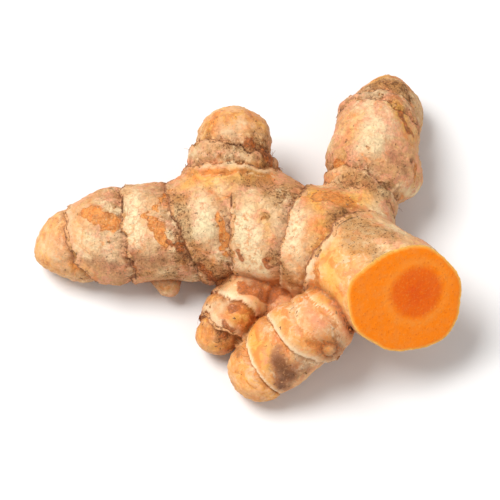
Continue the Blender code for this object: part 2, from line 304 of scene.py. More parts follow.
PINK = (
    (((13.6, -23.8, 22.6), (15.9, -26.9, 22.0)), 2.2, 1.0),
    (((18.6, -23.0, 22.0), (21.4, -26.8, 18.8)), 1.8, 0.9),
    (((3.5, -31.0, 15.8), (4.3, -32.7, 14.9)), 1.4, 0.9),
    (((-9.1, 10.2, 23.3), (-1.2, 9.9, 25.2)), 1.2, 0.8),
    (((-40.4, -3.6, 13.4), (-36.8, -6.4, 13.6)), 2.0, 0.7),
    (((28.6, 24.0, 22.8), (31.4, 19.6, 22.8)), 2.2, 0.6),
    (((-24.6, -5.6, 18.8), (-30.0, -8.0, 15.0)), 3.0, 0.5),
    (((-0.8, -16.9, 13.9), (4.4, -15.0, 12.5)), 1.6, 0.5),
)
# Grey-brown bruises, and one place of painted shade.
BRUISES_AND_SHADE = (
    (((6.6, -32.7, 15.8), (9.0, -34.3, 13.7), (8.2, -35.5, 10.4)), 3.0, 1.0),
    (((10.4, -33.4, 15.6), (13.0, -34.0, 14.0)), 2.6, 0.62),
    (((-33.6, -8.2, 14.0), (-29.6, -9.0, 15.0)), 3.4, 0.6),
    (((-23.6, -8.8, 16.4), (-18.6, -8.6, 17.0)), 4.0, 0.65),
    (((32.3, 14.1, 21.7), (34.0, 11.6, 19.5)), 2.8, 0.6),
    (((-3.2, -25.4, 8.6), (-1.9, -29.3, 11.8)), 1.3, 0.7),
    (((-1.0, -12.6, 14.6), (3.0, -13.6, 13.8)), 1.2, 0.8),
    # Painted shade, not a bruise: the dark crease between the trunk and the stub.
    (((-8.8, -11.2, 12.4), (-4.6, -11.8, 10.8)), 1.9, 0.8),
    (((-5.9, -23.5, 11.2), (-4.0, -24.9, 10.0)), 1.8, 0.9),
)
# Dry brown scale remains; at the lower end of the third ring and on the stub under the trunk they are partly
# painted shade.
BROWN_SCALE_AND_SHADE = (
    (((-16.5, -5.8, 20.0), (-15.4, -6.4, 19.8)), 0.8, 1.0),
    (((-2.7, -8.4, 20.0), (-2.0, -9.8, 18.6)), 1.1, 1.0),
    (((-27.6, 4.6, 20.3), (-27.4, 0.9, 21.4)), 0.7, 0.8),
    (((-26.7, -9.0, 16.5), (-25.7, -10.2, 14.6)), 1.1, 0.9),
    # Partly brown scale and partly painted shade at the lower end of the third ring.
    (((-13.8, -6.7, 19.6), (-12.2, -8.8, 17.4), (-9.5, -10.6, 14.0), (-6.4, -11.0, 10.6)), 1.2, 1.0),
    # Reddish-brown scale on the stub, spread into the shade under the trunk as painted shade.
    (((-1.0, -13.7, 14.0), (1.6, -15.2, 13.8), (4.6, -15.6, 12.6), (7.4, -15.6, 12.6)), 1.7, 1.0),
    (((0.6, 15.8, 26.0), (3.4, 14.4, 24.2), (5.2, 13.0, 21.6)), 1.7, 0.95),
    (((4.3, -11.1, 19.2), (5.1, -10.1, 20.8)), 1.0, 1.0),
    (((7.6, -11.4, 20.8), (9.0, -13.1, 19.8)), 0.8, 0.8),
    (((-2.4, -19.0, 13.6),), 1.3, 1.1),
    (((34.4, 25.4, 21.0), (36.4, 21.6, 19.2)), 1.3, 0.85),
    (((-4.9, -22.0, 12.2), (-3.0, -23.4, 12.2)), 1.4, 0.85),
    (((-5.4, -23.8, 11.0), (-4.2, -24.8, 10.2)), 1.1, 0.8),
)

# Smooth young skin, with hardly any wrinkles, cracks or soil.
TENDER = (
    (((22.6, -14.0, 22.0), (14.0, -24.0, 18.0), (8.0, -28.0, 14.0), (2.0, -32.0, 8.0)), 9.0, 1.0),
    (((3.6, -12.0, 12.0), (-4.0, -19.0, 10.0), (-7.0, -22.0, 8.0)), 5.4, 0.8),
    (((16.2, -14.0, 26.0), (18.6, -20.0, 25.0)), 3.2, 0.7),
    (((-3.0, 21.0, 22.0), (-4.0, 25.0, 18.0)), 5.0, 0.5),
    (((-41.0, -1.0, 12.0), (-46.0, -2.0, 8.0)), 7.0, 0.6),
    (((-9.0, 9.4, 23.4), (-1.0, 9.2, 25.4), (5.0, 8.8, 22.6)), 1.8, 0.6),
)

# Round scars of roots: the middle of each and its radius.
ROOT_SCARS = (
    ((36.6, 14.4, 18.6), 0.9),
    ((-24.6, -8.6, 4.0), 1.0),
    ((-8.0, -10.8, 6.4), 1.1),
    ((-30.6, 8.0, 5.0), 0.9),
    ((-12.8, 11.2, 8.6), 1.1),
    ((10.6, 10.6, 8.0), 1.0),
    ((22.0, -8.6, 5.6), 1.1),
    ((30.8, -12.8, 12.0), 1.0),
    ((36.4, 26.0, 10.0), 0.9),
    ((20.2, 18.6, 8.4), 0.9),
    ((2.6, -9.0, 2.6), 1.0),
    ((10.4, -33.0, 5.0), 0.8),
    ((-18.2, 10.2, 16.6), 0.8),
    ((31.6, -3.8, 17.4), 1.0),
)


def linear(red, green, blue):
    """A colour given as 0 to 255 in sRGB, as the linear values that a shader takes."""
    channels = []
    for value in (red, green, blue):
        share = value / 255
        channels.append(share / 12.92 if share <= 0.04045 else ((share + 0.055) / 1.055) ** 2.4)
    return tuple(channels)


def length_setting(name, description, default):
    """A length in mm that a user may change."""
    return FloatProperty(name=name, description=description, default=default, min=0.0, precision=3)


def colour_setting(name, description, red, green, blue):
    """A colour that a user may change."""
    return FloatVectorProperty(
        name=name, description=description, subtype="COLOR", size=3, min=0.0, max=1.0,
        default=linear(red, green, blue),
    )


class RhizomeSizes(bpy.types.PropertyGroup):
    """Sizes of the fine forms, in mm."""

    voxel: length_setting("Mesh step", "Distance between the points of the skin, in mm", 0.4)
    ledge_width: length_setting("Ledge width", "Width of the step down at a scar ring, in mm", 0.5)
    lip: length_setting("Lip", "Height of the rim before a scar ring, in mm", 0.3)
    lip_reach: length_setting("Lip reach", "How far back the rim of a scar ring reaches, in mm", 1.2)
    bark: length_setting("Bark thickness", "Height of the corky skin over its rubbed patches, in mm", 0.12)
    wrinkle: length_setting("Wrinkle depth", "Depth of the fine wrinkles, in mm", 0.17)
    crease_depth: length_setting("Crease depth", "Depth of the groove where a limb grows out, in mm", 0.6)
    lump: length_setting("Lump height", "Height of the slow lumps between the rings, in mm", 0.22)
    margin: length_setting("Scale margin", "Length of the papery remains at a ring, in mm", 0.85)
    margin_thickness: length_setting("Margin thickness", "Thickness of the papery remains, in mm", 0.08)
    flake: length_setting("Flake size", "Length of a loose papery flake, in mm", 0.9)
    fibre: length_setting("Fibre length", "Length of a root fibre, in mm", 2.2)
    fibre_radius: length_setting("Fibre radius", "Radius of a root fibre, in mm", 0.07)
    crumb: length_setting("Crumb size", "Radius of the largest soil crumb, in mm", 0.11)
    crumb_density: FloatProperty(
        name="Crumb density", description="Soil crumbs on a square mm of dirty skin", default=1.8, min=0.0
    )
    seed: IntProperty(name="Seed", description="Seed of every random draw", default=7, min=0)


class RhizomeColours(bpy.types.PropertyGroup):
    """Colours of the skin, the flesh and what lies on them."""

    # Cream also paints a highlight on the top of the trunk; brown, ochre and dark soil also paint the shadows
    # at the rings and the shade in the creases, and soil the shade underneath.
    cream: colour_setting("Cream", "Palest corky skin", 255, 232, 184)
    tan: colour_setting("Tan", "Most of the corky skin", 226, 166, 112)
    pink: colour_setting("Pink", "Flushed skin", 240, 160, 122)
    pale: colour_setting("Pale", "Papery rims of the young scales", 252, 228, 188)
    peach: colour_setting("Peach", "Tender skin of the young shoots", 246, 184, 128)
    yellow: colour_setting("Yellow", "Yellowish skin", 246, 200, 120)
    orange: colour_setting("Orange", "Rubbed patches", 238, 138, 56)
    ochre: colour_setting("Ochre", "Stained rubbed patches", 196, 104, 40)
    young: colour_setting("Young skin", "Smooth skin of the growing tips", 246, 176, 80)
    brown: colour_setting("Brown", "Dry scale remains", 138, 76, 36)
    soil: colour_setting("Soil", "Soil dust", 174, 120, 60)
    dark: colour_setting("Dark soil", "Soil in cracks and specks", 74, 40, 18)
    bruise: colour_setting("Bruise", "Grey-brown bruised skin", 150, 106, 78)
    flesh: colour_setting("Flesh", "Outer flesh at the cut", 252, 130, 2)
    stele: colour_setting("Core", "Core of the flesh at the cut", 224, 76, 0)
    rim: colour_setting("Rim", "Pale rim of the cut", 250, 190, 92)
    floor: colour_setting("Floor", "Floor of the studio", 238, 237, 236)


def smooth_spine(stations):
    """Points, radii and unit directions every SPINE_STEP along a Catmull-Rom curve through the stations."""
    knots = np.array(stations, float)
    before = 2 * knots[0] - knots[1]
    after = 2 * knots[-1] - knots[-2]
    knots = np.vstack([before, knots, after])
    fine = []
    for a, b, c, d in zip(knots, knots[1:], knots[2:], knots[3:]):
        count = max(2, int(np.linalg.norm(c[:3] - b[:3]) / (SPINE_STEP / 4)))
        t = np.linspace(0, 1, count, endpoint=False)[:, None]
        square = 2 * a - 5 * b + 4 * c - d
        cube = 3 * b - a - 3 * c + d
        fine.append(0.5 * (2 * b + (c - a) * t + square * t**2 + cube * t**3))
    fine = np.vstack(fine + [knots[-2][None]])
    lengths = np.concatenate([[0], np.cumsum(np.linalg.norm(np.diff(fine[:, :3], axis=0), axis=1))])
    at = np.arange(0, lengths[-1], SPINE_STEP)
    even = np.stack([np.interp(at, lengths, fine[:, k]) for k in range(4)], axis=1)
    along = np.gradient(even[:, :3], axis=0)
    along /= np.linalg.norm(along, axis=1, keepdims=True)
    return even[:, :3], even[:, 3], along


class Limb:
    """One limb of the rhizome: balls along its spine, with rings and swellings on them."""

    def __init__(self, stations, rings=(), ledge=0.0, swell=0.0, blend=0.0, tear=1.0):
        self.points, self.radii, self.along = smooth_spine(stations)
        self.rings, self.ledge, self.swell, self.blend, self.tear = rings, ledge, swell, blend, tear
        up = np.array([0.0, 0.0, 1.0])
        top = up - (self.along @ up)[:, None] * self.along
        self.top = top / np.linalg.norm(top, axis=1, keepdims=True)
        self.side = np.cross(self.along, self.top)

    def place(self, where):
        """For each point: its nearest ball, the way out from that ball, and the distance from its middle."""
        nearest = np.empty(len(where), int)
        for start in range(0, len(where), POINTS_AT_ONCE):
            part = slice(start, start + POINTS_AT_ONCE)
            reach = np.linalg.norm(where[part, None, :] - self.points[None], axis=2)
            nearest[part] = np.argmin(reach - self.radii, axis=1)
        out = where - self.points[nearest]
        return nearest, out, np.linalg.norm(out, axis=1)

    def grown(self, nearest, out):
        """Distance along the limb and turn round it, where turn 0 is the upper side."""
        along = nearest * SPINE_STEP + np.einsum("ij,ij->i", out, self.along[nearest])
        sideways = np.einsum("ij,ij->i", out, self.side[nearest])
        upwards = np.einsum("ij,ij->i", out, self.top[nearest])
        return along, np.arctan2(sideways, upwards)

    def ring_edge(self, number, turn):
        """Distance along the limb of a ring's torn edge, at each turn."""
        distance, lean_top, lean_side, _ = self.rings[number]
        waver = sum(height * np.sin(waves * turn + shift * number) for height, waves, shift in WAVERS)
        torn = sum(height * np.sin(waves * turn + shift * number) for height, waves, shift in TEARS)
        waver += self.tear * torn
        return distance + lean_top * np.cos(turn) + lean_side * np.sin(turn) + waver

    def segment(self, along, turn):
        """The depths of the last ring passed and of the next one, and the distances from and to them."""
        edges = [np.full(len(turn), -BEFORE_BASE)]
        edges += [self.ring_edge(number, turn) for number in range(len(self.rings))]
        edges.append(np.full(len(turn), len(self.radii) * SPINE_STEP + self.radii[-1] + PAST_TIP))
        edges = np.sort(np.stack(edges, axis=1), axis=1)
        passed = (along[:, None] >= edges[:, :-1]).sum(axis=1).clip(1, edges.shape[1] - 1) - 1
        rows = np.arange(len(turn))
        depths = np.array([0.0, *(ring[3] for ring in self.rings), 0.0])
        behind, ahead = along - edges[rows, passed], edges[rows, passed + 1] - along
        return depths[passed], depths[passed + 1], behind, ahead

    def relief(self, depth, ahead, after, before, sizes):
        """Height of the skin over the plain limb: a step down at each ring, and a swell between rings."""
        length = after + before
        share = (after / length).clip(0, 1)
        sunk = -self.ledge * depth * np.exp(-after.clip(0) / (RECOVERY * length))
        step = (after / sizes.ledge_width).clip(0, 1)
        step = step * step * (3 - 2 * step)
        lip = sizes.lip * ahead * np.exp(-((before / sizes.lip_reach) ** 2))
        return sizes.lip * depth * (1 - step) + step * sunk + lip + self.swell * 4 * share * (1 - share)


def unevenness(where):
    """Height of the slow lumps, as a sum of waves, less the hollows."""
    height = sum(size * np.sin(where @ np.array(waves) + phase) for size, waves, phase in LUMPS)
    for middle, reach, depth in HOLLOWS:
        height -= depth * np.exp(-((np.linalg.norm(where - middle, axis=1) / reach) ** 2))
    return height


def gap_to_skin(where, limbs, sizes):
    """Signed distance to the skin, the way out of it, and the facts of the limb that owns each point.

    The facts are the limb's number, the place along it and across it, the depths of the last ring passed and
    of the next one, the distances from and to them, and how deep in a crease with a neighbour the point lies.
    """
    gaps, ways, facts = [], [], []
    for number, limb in enumerate(limbs):
        nearest, out, distance = limb.place(where)
        along, turn = limb.grown(nearest, out)
        depth, ahead, after, before = limb.segment(along, turn)
        gaps.append(distance - limb.radii[nearest] - limb.relief(depth, ahead, after, before, sizes))
        ways.append(out / np.maximum(distance, 1e-6)[:, None])
        across = limb.radii[nearest]
        own = (np.full(len(where), number), along, across * np.cos(turn), across * np.sin(turn))
        facts.append(np.stack([*own, depth, ahead, after, before], axis=1))
    gap, way = gaps[0], ways[0]
    for limb, own_gap, own_way in zip(limbs[1:], gaps[1:], ways[1:]):
        overlap = np.maximum(limb.blend - np.abs(gap - own_gap), 0) / limb.blend
        share = np.where(own_gap < gap, 1 - overlap / 2, overlap / 2)[:, None]
        gap = np.minimum(gap, own_gap) - overlap**2 * limb.blend / 4
        way = way * (1 - share) + own_way * share
        way /= np.linalg.norm(way, axis=1, keepdims=True)
    gaps = np.stack(gaps, axis=1)
    order = np.argsort(gaps, axis=1)[:, :2]
    rows = np.arange(len(where))
    owner, neighbour = order[:, 0], order[:, 1]
    sharp = np.array([0 < limb.blend < SOFT_BLEND for limb in limbs])
    spread = gaps[rows, neighbour] - gaps[rows, owner]
    crease = np.exp(-spread / CREASE_REACH) * (sharp[owner] | sharp[neighbour])
    facts = np.stack(facts)[owner, rows]
    return gap - unevenness(where), way, np.column_stack([facts, crease])


def fractal(where, size, octaves=3, seed=0):
    """Noise from about -1 to 1 at points in mm, with lumps about size mm across."""
    shift = Vector((13.7 * seed, -7.1 * seed, 3.3 * seed))
    return np.array([noise.fractal(Vector(p) / size + shift, 0.9, 2.0, octaves) for p in where])


def smooth_step(value, low, high):
    """0 below low, 1 above high, and a smooth rise between them."""
    share = ((value - low) / (high - low)).clip(0, 1)
    return share * share * (3 - 2 * share)


def distance_to_path(where, path):
    """Distance from each point to a path of straight pieces, or to its one point."""
    best = np.linalg.norm(where - np.array(path[0]), axis=1)
    for start, end in zip(path, path[1:]):
        start, end = np.array(start), np.array(end)
        way = end - start
        share = ((where - start) @ way / (way @ way)).clip(0, 1)
        best = np.minimum(best, np.linalg.norm(where - start - share[:, None] * way, axis=1))
    return best


def near_places(where, places):
    """How strongly each point lies in any of the places."""
    strength = np.zeros(len(where))
    for path, reach, weight in places:
        strength = np.maximum(strength, weight * np.exp(-((distance_to_path(where, path) / reach) ** 2)))
    return strength


def vectors(items, name):
    """One vector of every vertex or attribute value, as rows."""
    values = np.empty(len(items) * 3)
    items.foreach_get(name, values)
    return values.reshape(-1, 3)


def move_vertices(mesh, places):
    """Puts the vertices of a mesh at places in mm."""
    mesh.vertices.foreach_set("co", (places * MM).ravel())
    mesh.update()


def mesh_from(bm, name):
    """A new mesh with what the bmesh holds, which is freed."""
    mesh = bpy.data.meshes.new(name)
    bm.to_mesh(mesh)
    bm.free()
    return mesh


def store(mesh, name, values):
    """Keeps one number or one vector a vertex on the mesh, for its material and its node trees."""
    values = np.asarray(values, float)
    kind = "FLOAT" if values.ndim == 1 else "FLOAT_VECTOR"
    attribute = mesh.attributes.new(name, kind, "POINT")
    attribute.data.foreach_set("value" if kind == "FLOAT" else "vector", values.ravel())


def add_piece(name, mesh):
    """An object of the scene for a finished mesh, at the origin and unscaled."""
    piece = bpy.data.objects.new(name, mesh)
    bpy.context.scene.collection.objects.link(piece)
    return piece


def baked(piece):
    """Swaps the object's mesh for the one that its modifiers make, and removes them."""
    graph = bpy.context.evaluated_depsgraph_get()
    made = bpy.data.meshes.new_from_object(piece.evaluated_get(graph), depsgraph=graph)
    piece.modifiers.clear()
    piece.data = made
    made.name = piece.name
    return piece


def rough_body(limbs, voxel):
    """The limbs as overlapping balls, made one even mesh by a voxel Remesh."""
    bm = bmesh.new()
    every = int(BALL_STEP / SPINE_STEP)
    for limb in limbs:
        picked = sorted(set(range(0, len(limb.radii), every)) | {len(limb.radii) - 1})
        for index in picked:
            place = Matrix.Translation(Vector(limb.points[index]) * MM)
            radius = limb.radii[index] * MM
            bmesh.ops.create_icosphere(bm, subdivisions=BALL_DETAIL, radius=radius, matrix=place)
    piece = add_piece("rhizome_skin", mesh_from(bm, "rhizome_skin"))
    remesh = piece.modifiers.new("one_skin", "REMESH")
    remesh.mode = "VOXEL"
    remesh.voxel_size = voxel * MM
    bpy.context.view_layer.update()
    return baked(piece)


def slice_flat(mesh, point, normal, spare=(0, 0, 0), spare_reach=0.0):
    """Cuts off what lies beyond a plane, except near a spared place, and gives the rim of the largest cut."""
    bm = bmesh.new()
    bm.from_mesh(mesh)
    spared = {vertex for vertex in bm.verts if (vertex.co - Vector(spare) * MM).length < spare_reach * MM}
    verts = [vertex for vertex in bm.verts if vertex not in spared]
    edges = [edge for edge in bm.edges if spared.isdisjoint(edge.verts)]
    faces = [face for face in bm.faces if spared.isdisjoint(face.verts)]
    parts = verts + edges + faces
    cut = bmesh.ops.bisect_plane(bm, geom=parts, dist=1e-6, plane_co=point, plane_no=normal, clear_outer=True)
    rim = [item for item in cut["geom_cut"] if isinstance(item, bmesh.types.BMEdge)]
    caps = bmesh.ops.holes_fill(bm, edges=rim)["faces"]
    largest = max(caps, key=lambda face: face.calc_area())
    outline = np.array([vertex.co for vertex in largest.verts]) / MM
    bmesh.ops.recalc_face_normals(bm, faces=bm.faces)
    bm.to_mesh(mesh)
    bm.free()
    return outline


def torn(where):
    """The points shifted a little by noise, so that a place has a torn outline."""
    slow = np.stack([fractal(where, 4.5, 3, seed) for seed in (1, 2, 3)], axis=1)
    return where + TORN_REACH * slow


def fine_relief(where, at, facts, sizes):
    """Height of the bark, wrinkles, lumps, furrows and root scars over the smooth skin, and their masks."""
    number, along, across_up, across_side, depth, ahead, after, before, crease = facts.T
    quick = fractal(where, 1.1, 3, 5)
    bare_field = near_places(at, BARE) + 0.22 * fractal(where, 3.4, 3, 4) + 0.10 * quick
    bare_field += 0.22 * np.exp(-after / 1.6) * depth - 0.12 * near_places(at, PALE_SKIN_AND_HIGHLIGHTS)
    bare = smooth_step(bare_field, 0.42, 0.54)
    grown = np.stack([along + 150 * number, across_up, across_side], axis=1)
    lengthwise = fractal(grown / np.array([6.0, 1.2, 1.2]), 1.0, 3, 6)
    crosswise = fractal(grown / np.array([0.8, 6.0, 6.0]), 1.0, 2, 7)
    young = (ahead == 0) * (depth > 0) * np.exp(-((before - 6).clip(0) / 6))
    tender = near_places(where, TENDER)
    rough = 1 - 0.75 * tender
    growth_lines = np.sin(2 * math.pi * (along + 0.5 * quick + 0.8 * lengthwise) / GROWTH_LINE_STEP)
    height = sizes.bark * (0.5 - bare) - sizes.crease_depth * crease
    height += sizes.wrinkle * rough * lengthwise * (0.6 + 0.6 * np.exp(-after / 4)) * (1 - 0.4 * young)
    height += sizes.wrinkle * rough * (0.6 * crosswise + 0.35 * growth_lines * (0.5 + crosswise).clip(0, 1))
    height += 0.6 * sizes.wrinkle * growth_lines * young * (0.6 + lengthwise).clip(0, 1)
    height += sizes.lump * fractal(where, 4.5, 2, 8) + 0.09 * rough * quick
    for path, width, furrow in FURROWS:
        height -= furrow * np.exp(-((distance_to_path(at, path) / width) ** 2))
    scar = np.zeros(len(where))
    for middle, radius in ROOT_SCARS:
        distance = np.linalg.norm(where - middle, axis=1)
        height += SCAR_RIM * np.exp(-(((distance - radius) / 0.35) ** 2))
        height -= SCAR_PIT * np.exp(-((distance / (0.6 * radius)) ** 2))
        scar = np.maximum(scar, np.exp(-((distance / (1.1 * radius)) ** 4)))
    return height, bare_field, scar, young, tender, growth_lines, grown, quick


def build_skin(sizes):
    """The whole skin with its fine relief, its attributes and the outline of its cut."""
    limbs = [Limb(**facts) for facts in LIMBS.values()]
    piece = rough_body(limbs, sizes.voxel)
    mesh = piece.data
    where = vectors(mesh.vertices, "co") / MM
    for _ in range(SNAP_ROUNDS):
        gap, way, facts = gap_to_skin(where, limbs, sizes)
        where = where - gap[:, None] * way
    move_vertices(mesh, where)
    here = where - PLACES_ORIGIN
    at = torn(here)
    height, bare_field, scar, young, tender, growth_lines, grown, quick = fine_relief(here, at, facts, sizes)
    move_vertices(mesh, where + height[:, None] * vectors(mesh.vertices, "normal"))

    depth, ahead, after, before, crease = facts[:, 4:].T
    ragged = (0.5 + quick).clip(0, 1)
    # Masks along the rings: of the painted shadow line after each ring, and of the stain after it and the rim
    # before it, which is partly dirt and partly painted shade; on tender skin the rim is the pale papery rim.
    shadow = depth * np.exp(-((after / SHADOW_REACH) ** 2))
    trail = depth * np.exp(-after / TRAIL_REACH)
    rim = ahead * np.exp(-before / RIM_REACH)
    soil = near_places(at, SOIL_AND_SHADE) + 0.25 * fractal(here, 2.6, 3, 12)
    bruise = near_places(at, BRUISES_AND_SHADE)
    clear = smooth_step(here[:, 2], 0.4, 1.6) * (distance_past_cut(where) < -0.8)
    store(mesh, "grown", grown)
    store(mesh, "wear", np.stack([bare_field, soil, bruise], axis=1))
    store(mesh, "ring", np.stack([shadow, trail, rim], axis=1))
    store(mesh, "age", np.stack([young, crease, scar], axis=1))
    store(mesh, "soft", np.stack([tender, near_places(at, PINK), growth_lines], axis=1))
    warmth = near_places(at, FLUSH) - near_places(at, PALE_SKIN_AND_HIGHLIGHTS)
    store(mesh, "tint", np.stack([warmth, near_places(at, BROWN_SCALE_AND_SHADE), np.zeros(len(at))], axis=1))
    dusty = smooth_step(soil, 0.25, 0.95) * (1 - 0.5 * tender)
    hollows = (0.5 * shadow * ragged + 0.35 * crease) * (1 - tender)
    store(mesh, "soil_amount", (dusty**2 + 0.02 + hollows) * clear)
    store(mesh, "fibre_amount", (shadow * (ragged > 0.6) + 0.5 * dusty * shadow + 0.5 * scar) * clear)
    peeling = trail * ragged + (np.abs(bare_field - 0.47) < 0.06)
    store(mesh, "flake_amount", peeling * (1 - 0.8 * tender) * clear)
    outline = slice_flat(mesh, Vector(CUT_POINT) * MM, Vector(CUT_NORMAL), BUD_BESIDE_CUT, BUD_REACH) - MIDDLE
    slice_flat(mesh, Vector((0, 0, 0)), Vector((0, 0, -1)))
    where = vectors(mesh.vertices, "co") / MM
    past_bud = np.linalg.norm(where - np.array(BUD_BESIDE_CUT), axis=1) > BUD_REACH
    tint = vectors(mesh.attributes["tint"].data, "vector")
    tint[:, 2] = (distance_past_cut(where) > -0.02) & past_bud
    mesh.attributes["tint"].data.foreach_set("vector", tint.ravel())
    mesh.transform(Matrix.Translation(-Vector(MIDDLE) * MM))
    return piece, outline


def distance_past_cut(where):
    """How far points in the limbs' frame lie beyond the plane of the cut."""
    normal = np.array(CUT_NORMAL) / np.linalg.norm(CUT_NORMAL)
    return (where - CUT_POINT) @ normal


class Tree:
    """Short calls that add and wire the nodes of one tree."""

    def __init__(self, tree):
        self.tree = tree

    def link(self, value, socket):
        """Wires an output to a socket, or sets a plain value there."""
        if isinstance(value, bpy.types.NodeSocket):
            self.tree.links.new(value, socket)
        else:
            socket.default_value = value

    def add(self, kind, inputs=(), **settings):
        """A node with its settings, its inputs wired or set by name or number."""
        made = self.tree.nodes.new(kind)
        for name, value in settings.items():
            setattr(made, name, value)
        for name, value in dict(inputs).items():
            self.link(value, made.inputs[name])
        return made

    def placed(self, group, inputs):
        """The outputs of a shader node group that is placed in this tree."""
        return self.add("ShaderNodeGroup", inputs, node_tree=group).outputs

    def noise(self, vector, scale, detail=3.0, roughness=0.55, distortion=0.0):
        inputs = {"Vector": vector, "Scale": scale, "Detail": detail, "Roughness": roughness}
        return self.add("ShaderNodeTexNoise", {**inputs, "Distortion": distortion}).outputs["Fac"]

    def maths(self, operation, first, second=0.0, third=0.0, clamp=False):
        inputs = {0: first, 1: second, 2: third}
        return self.add("ShaderNodeMath", inputs, operation=operation, use_clamp=clamp).outputs[0]

    def times(self, first, second, clamp=False):
        return self.maths("MULTIPLY", first, second, clamp=clamp)

    def scaled(self, value, factor, start):
        """The value times the factor, plus the start."""
        return self.maths("MULTIPLY_ADD", value, factor, start)

    def rise(self, value, low, high, top=1.0):
        """0 below low, top above high, and a smooth rise between them."""
        inputs = {"Value": value, "From Min": low, "From Max": high, "To Max": top}
        return self.add("ShaderNodeMapRange", inputs, interpolation_type="SMOOTHSTEP").outputs["Result"]

    def mixed(self, factor, first, second):
        """A colour between two colours."""
        inputs = {0: factor}
        for index, value in ((6, first), (7, second)):
            inputs[index] = value if isinstance(value, bpy.types.NodeSocket) else (*value, 1.0)
        return self.add("ShaderNodeMix", inputs, data_type="RGBA").outputs[2]

    def parts(self, name):
        """The three numbers that a vector attribute holds."""
        vector = self.add("ShaderNodeAttribute", attribute_name=name).outputs["Vector"]
        return self.add("ShaderNodeSeparateXYZ", {0: vector}).outputs


def new_group(name, inputs, outputs):
    """A shader group's Tree and the sockets at its two ends, from (name, kind, default) of each input."""
    group = bpy.data.node_groups.new(name, "ShaderNodeTree")
    for socket, kind, default in inputs:
        made = group.interface.new_socket(name=socket, in_out="INPUT", socket_type=kind)
        if default is not None:
            made.default_value = default
    for socket in outputs:
        group.interface.new_socket(name=socket, in_out="OUTPUT", socket_type="NodeSocketFloat")
    tree = Tree(group)
    return tree, tree.add("NodeGroupInput").outputs, tree.add("NodeGroupOutput").inputs


def specks_group():
    """Round dark specks, denser where there is more soil."""
    name = "soil_specks"
    if name in bpy.data.node_groups:
        return bpy.data.node_groups[name]
    inputs = (
        ("Vector", "NodeSocketVector", None), ("Scale", "NodeSocketFloat", 1000.0),
        ("Amount", "NodeSocketFloat", 0.3),
    )
    tree, source, target = new_group(name, inputs, ("Mask",))
    blots = tree.noise(source["Vector"], source["Scale"], 2.0, 0.6, 0.4)
    level = tree.scaled(source["Amount"], -0.17, 0.70)
    tree.link(tree.rise(blots, level, tree.maths("ADD", level, 0.05)), target["Mask"])
    return tree.tree


def grain_group():
    """Corky grain that runs round a limb, with a net of fine cracks: a shade and a height for bump."""
    name = "corky_grain"
    if name in bpy.data.node_groups:
        return bpy.data.node_groups[name]
    inputs = (
        ("Grown", "NodeSocketVector", None), ("Object", "NodeSocketVector", None),
        ("Coarseness", "NodeSocketFloat", 1.0),
    )
    tree, source, target = new_group(name, inputs, ("Shade", "Cracks", "Height"))
    inputs = {"Vector": source["Grown"], "Scale": (1.5, 0.5, 0.5)}
    stretched = tree.add("ShaderNodeMapping", inputs).outputs[0]
    streaks = tree.noise(stretched, source["Coarseness"], 5.0, 0.7, 0.8)
    fine = tree.noise(source["Object"], 2400.0, 4.0, 0.65)
    net = tree.noise(source["Object"], 620.0, 4.0, 0.6, 1.2)
    cracks = tree.rise(tree.maths("ABSOLUTE", tree.maths("SUBTRACT", net, 0.5)), 0.035, 0.0)
    shade = tree.maths("ADD", tree.times(streaks, 0.5), tree.times(fine, 0.5))
    tree.link(shade, target["Shade"])
    tree.link(cracks, target["Cracks"])
    tree.link(tree.maths("SUBTRACT", shade, tree.times(cracks, 0.25)), target["Height"])
    return tree.tree


def new_material(name):
    """A material's Tree, its Principled shader and the place on the object."""
    material = bpy.data.materials.new(name)
    material.use_nodes = True
    tree = Tree(material.node_tree)
    shader = material.node_tree.nodes["Principled BSDF"]
    shader.inputs["Metallic"].default_value = 0.0
    return material, tree, shader, tree.add("ShaderNodeTexCoord").outputs["Object"]


def finish_surface(tree, shader, colour, roughness, height=None, strength=1.0, distance=0.0):
    """Wires a colour and a roughness to the shader, and a height by way of a Bump node."""
    tree.link(colour, shader.inputs["Base Color"])
    tree.link(roughness, shader.inputs["Roughness"])
    if height is not None:
        bump = tree.add("ShaderNodeBump", {"Height": height, "Strength": strength, "Distance": distance})
        tree.link(bump.outputs[0], shader.inputs["Normal"])


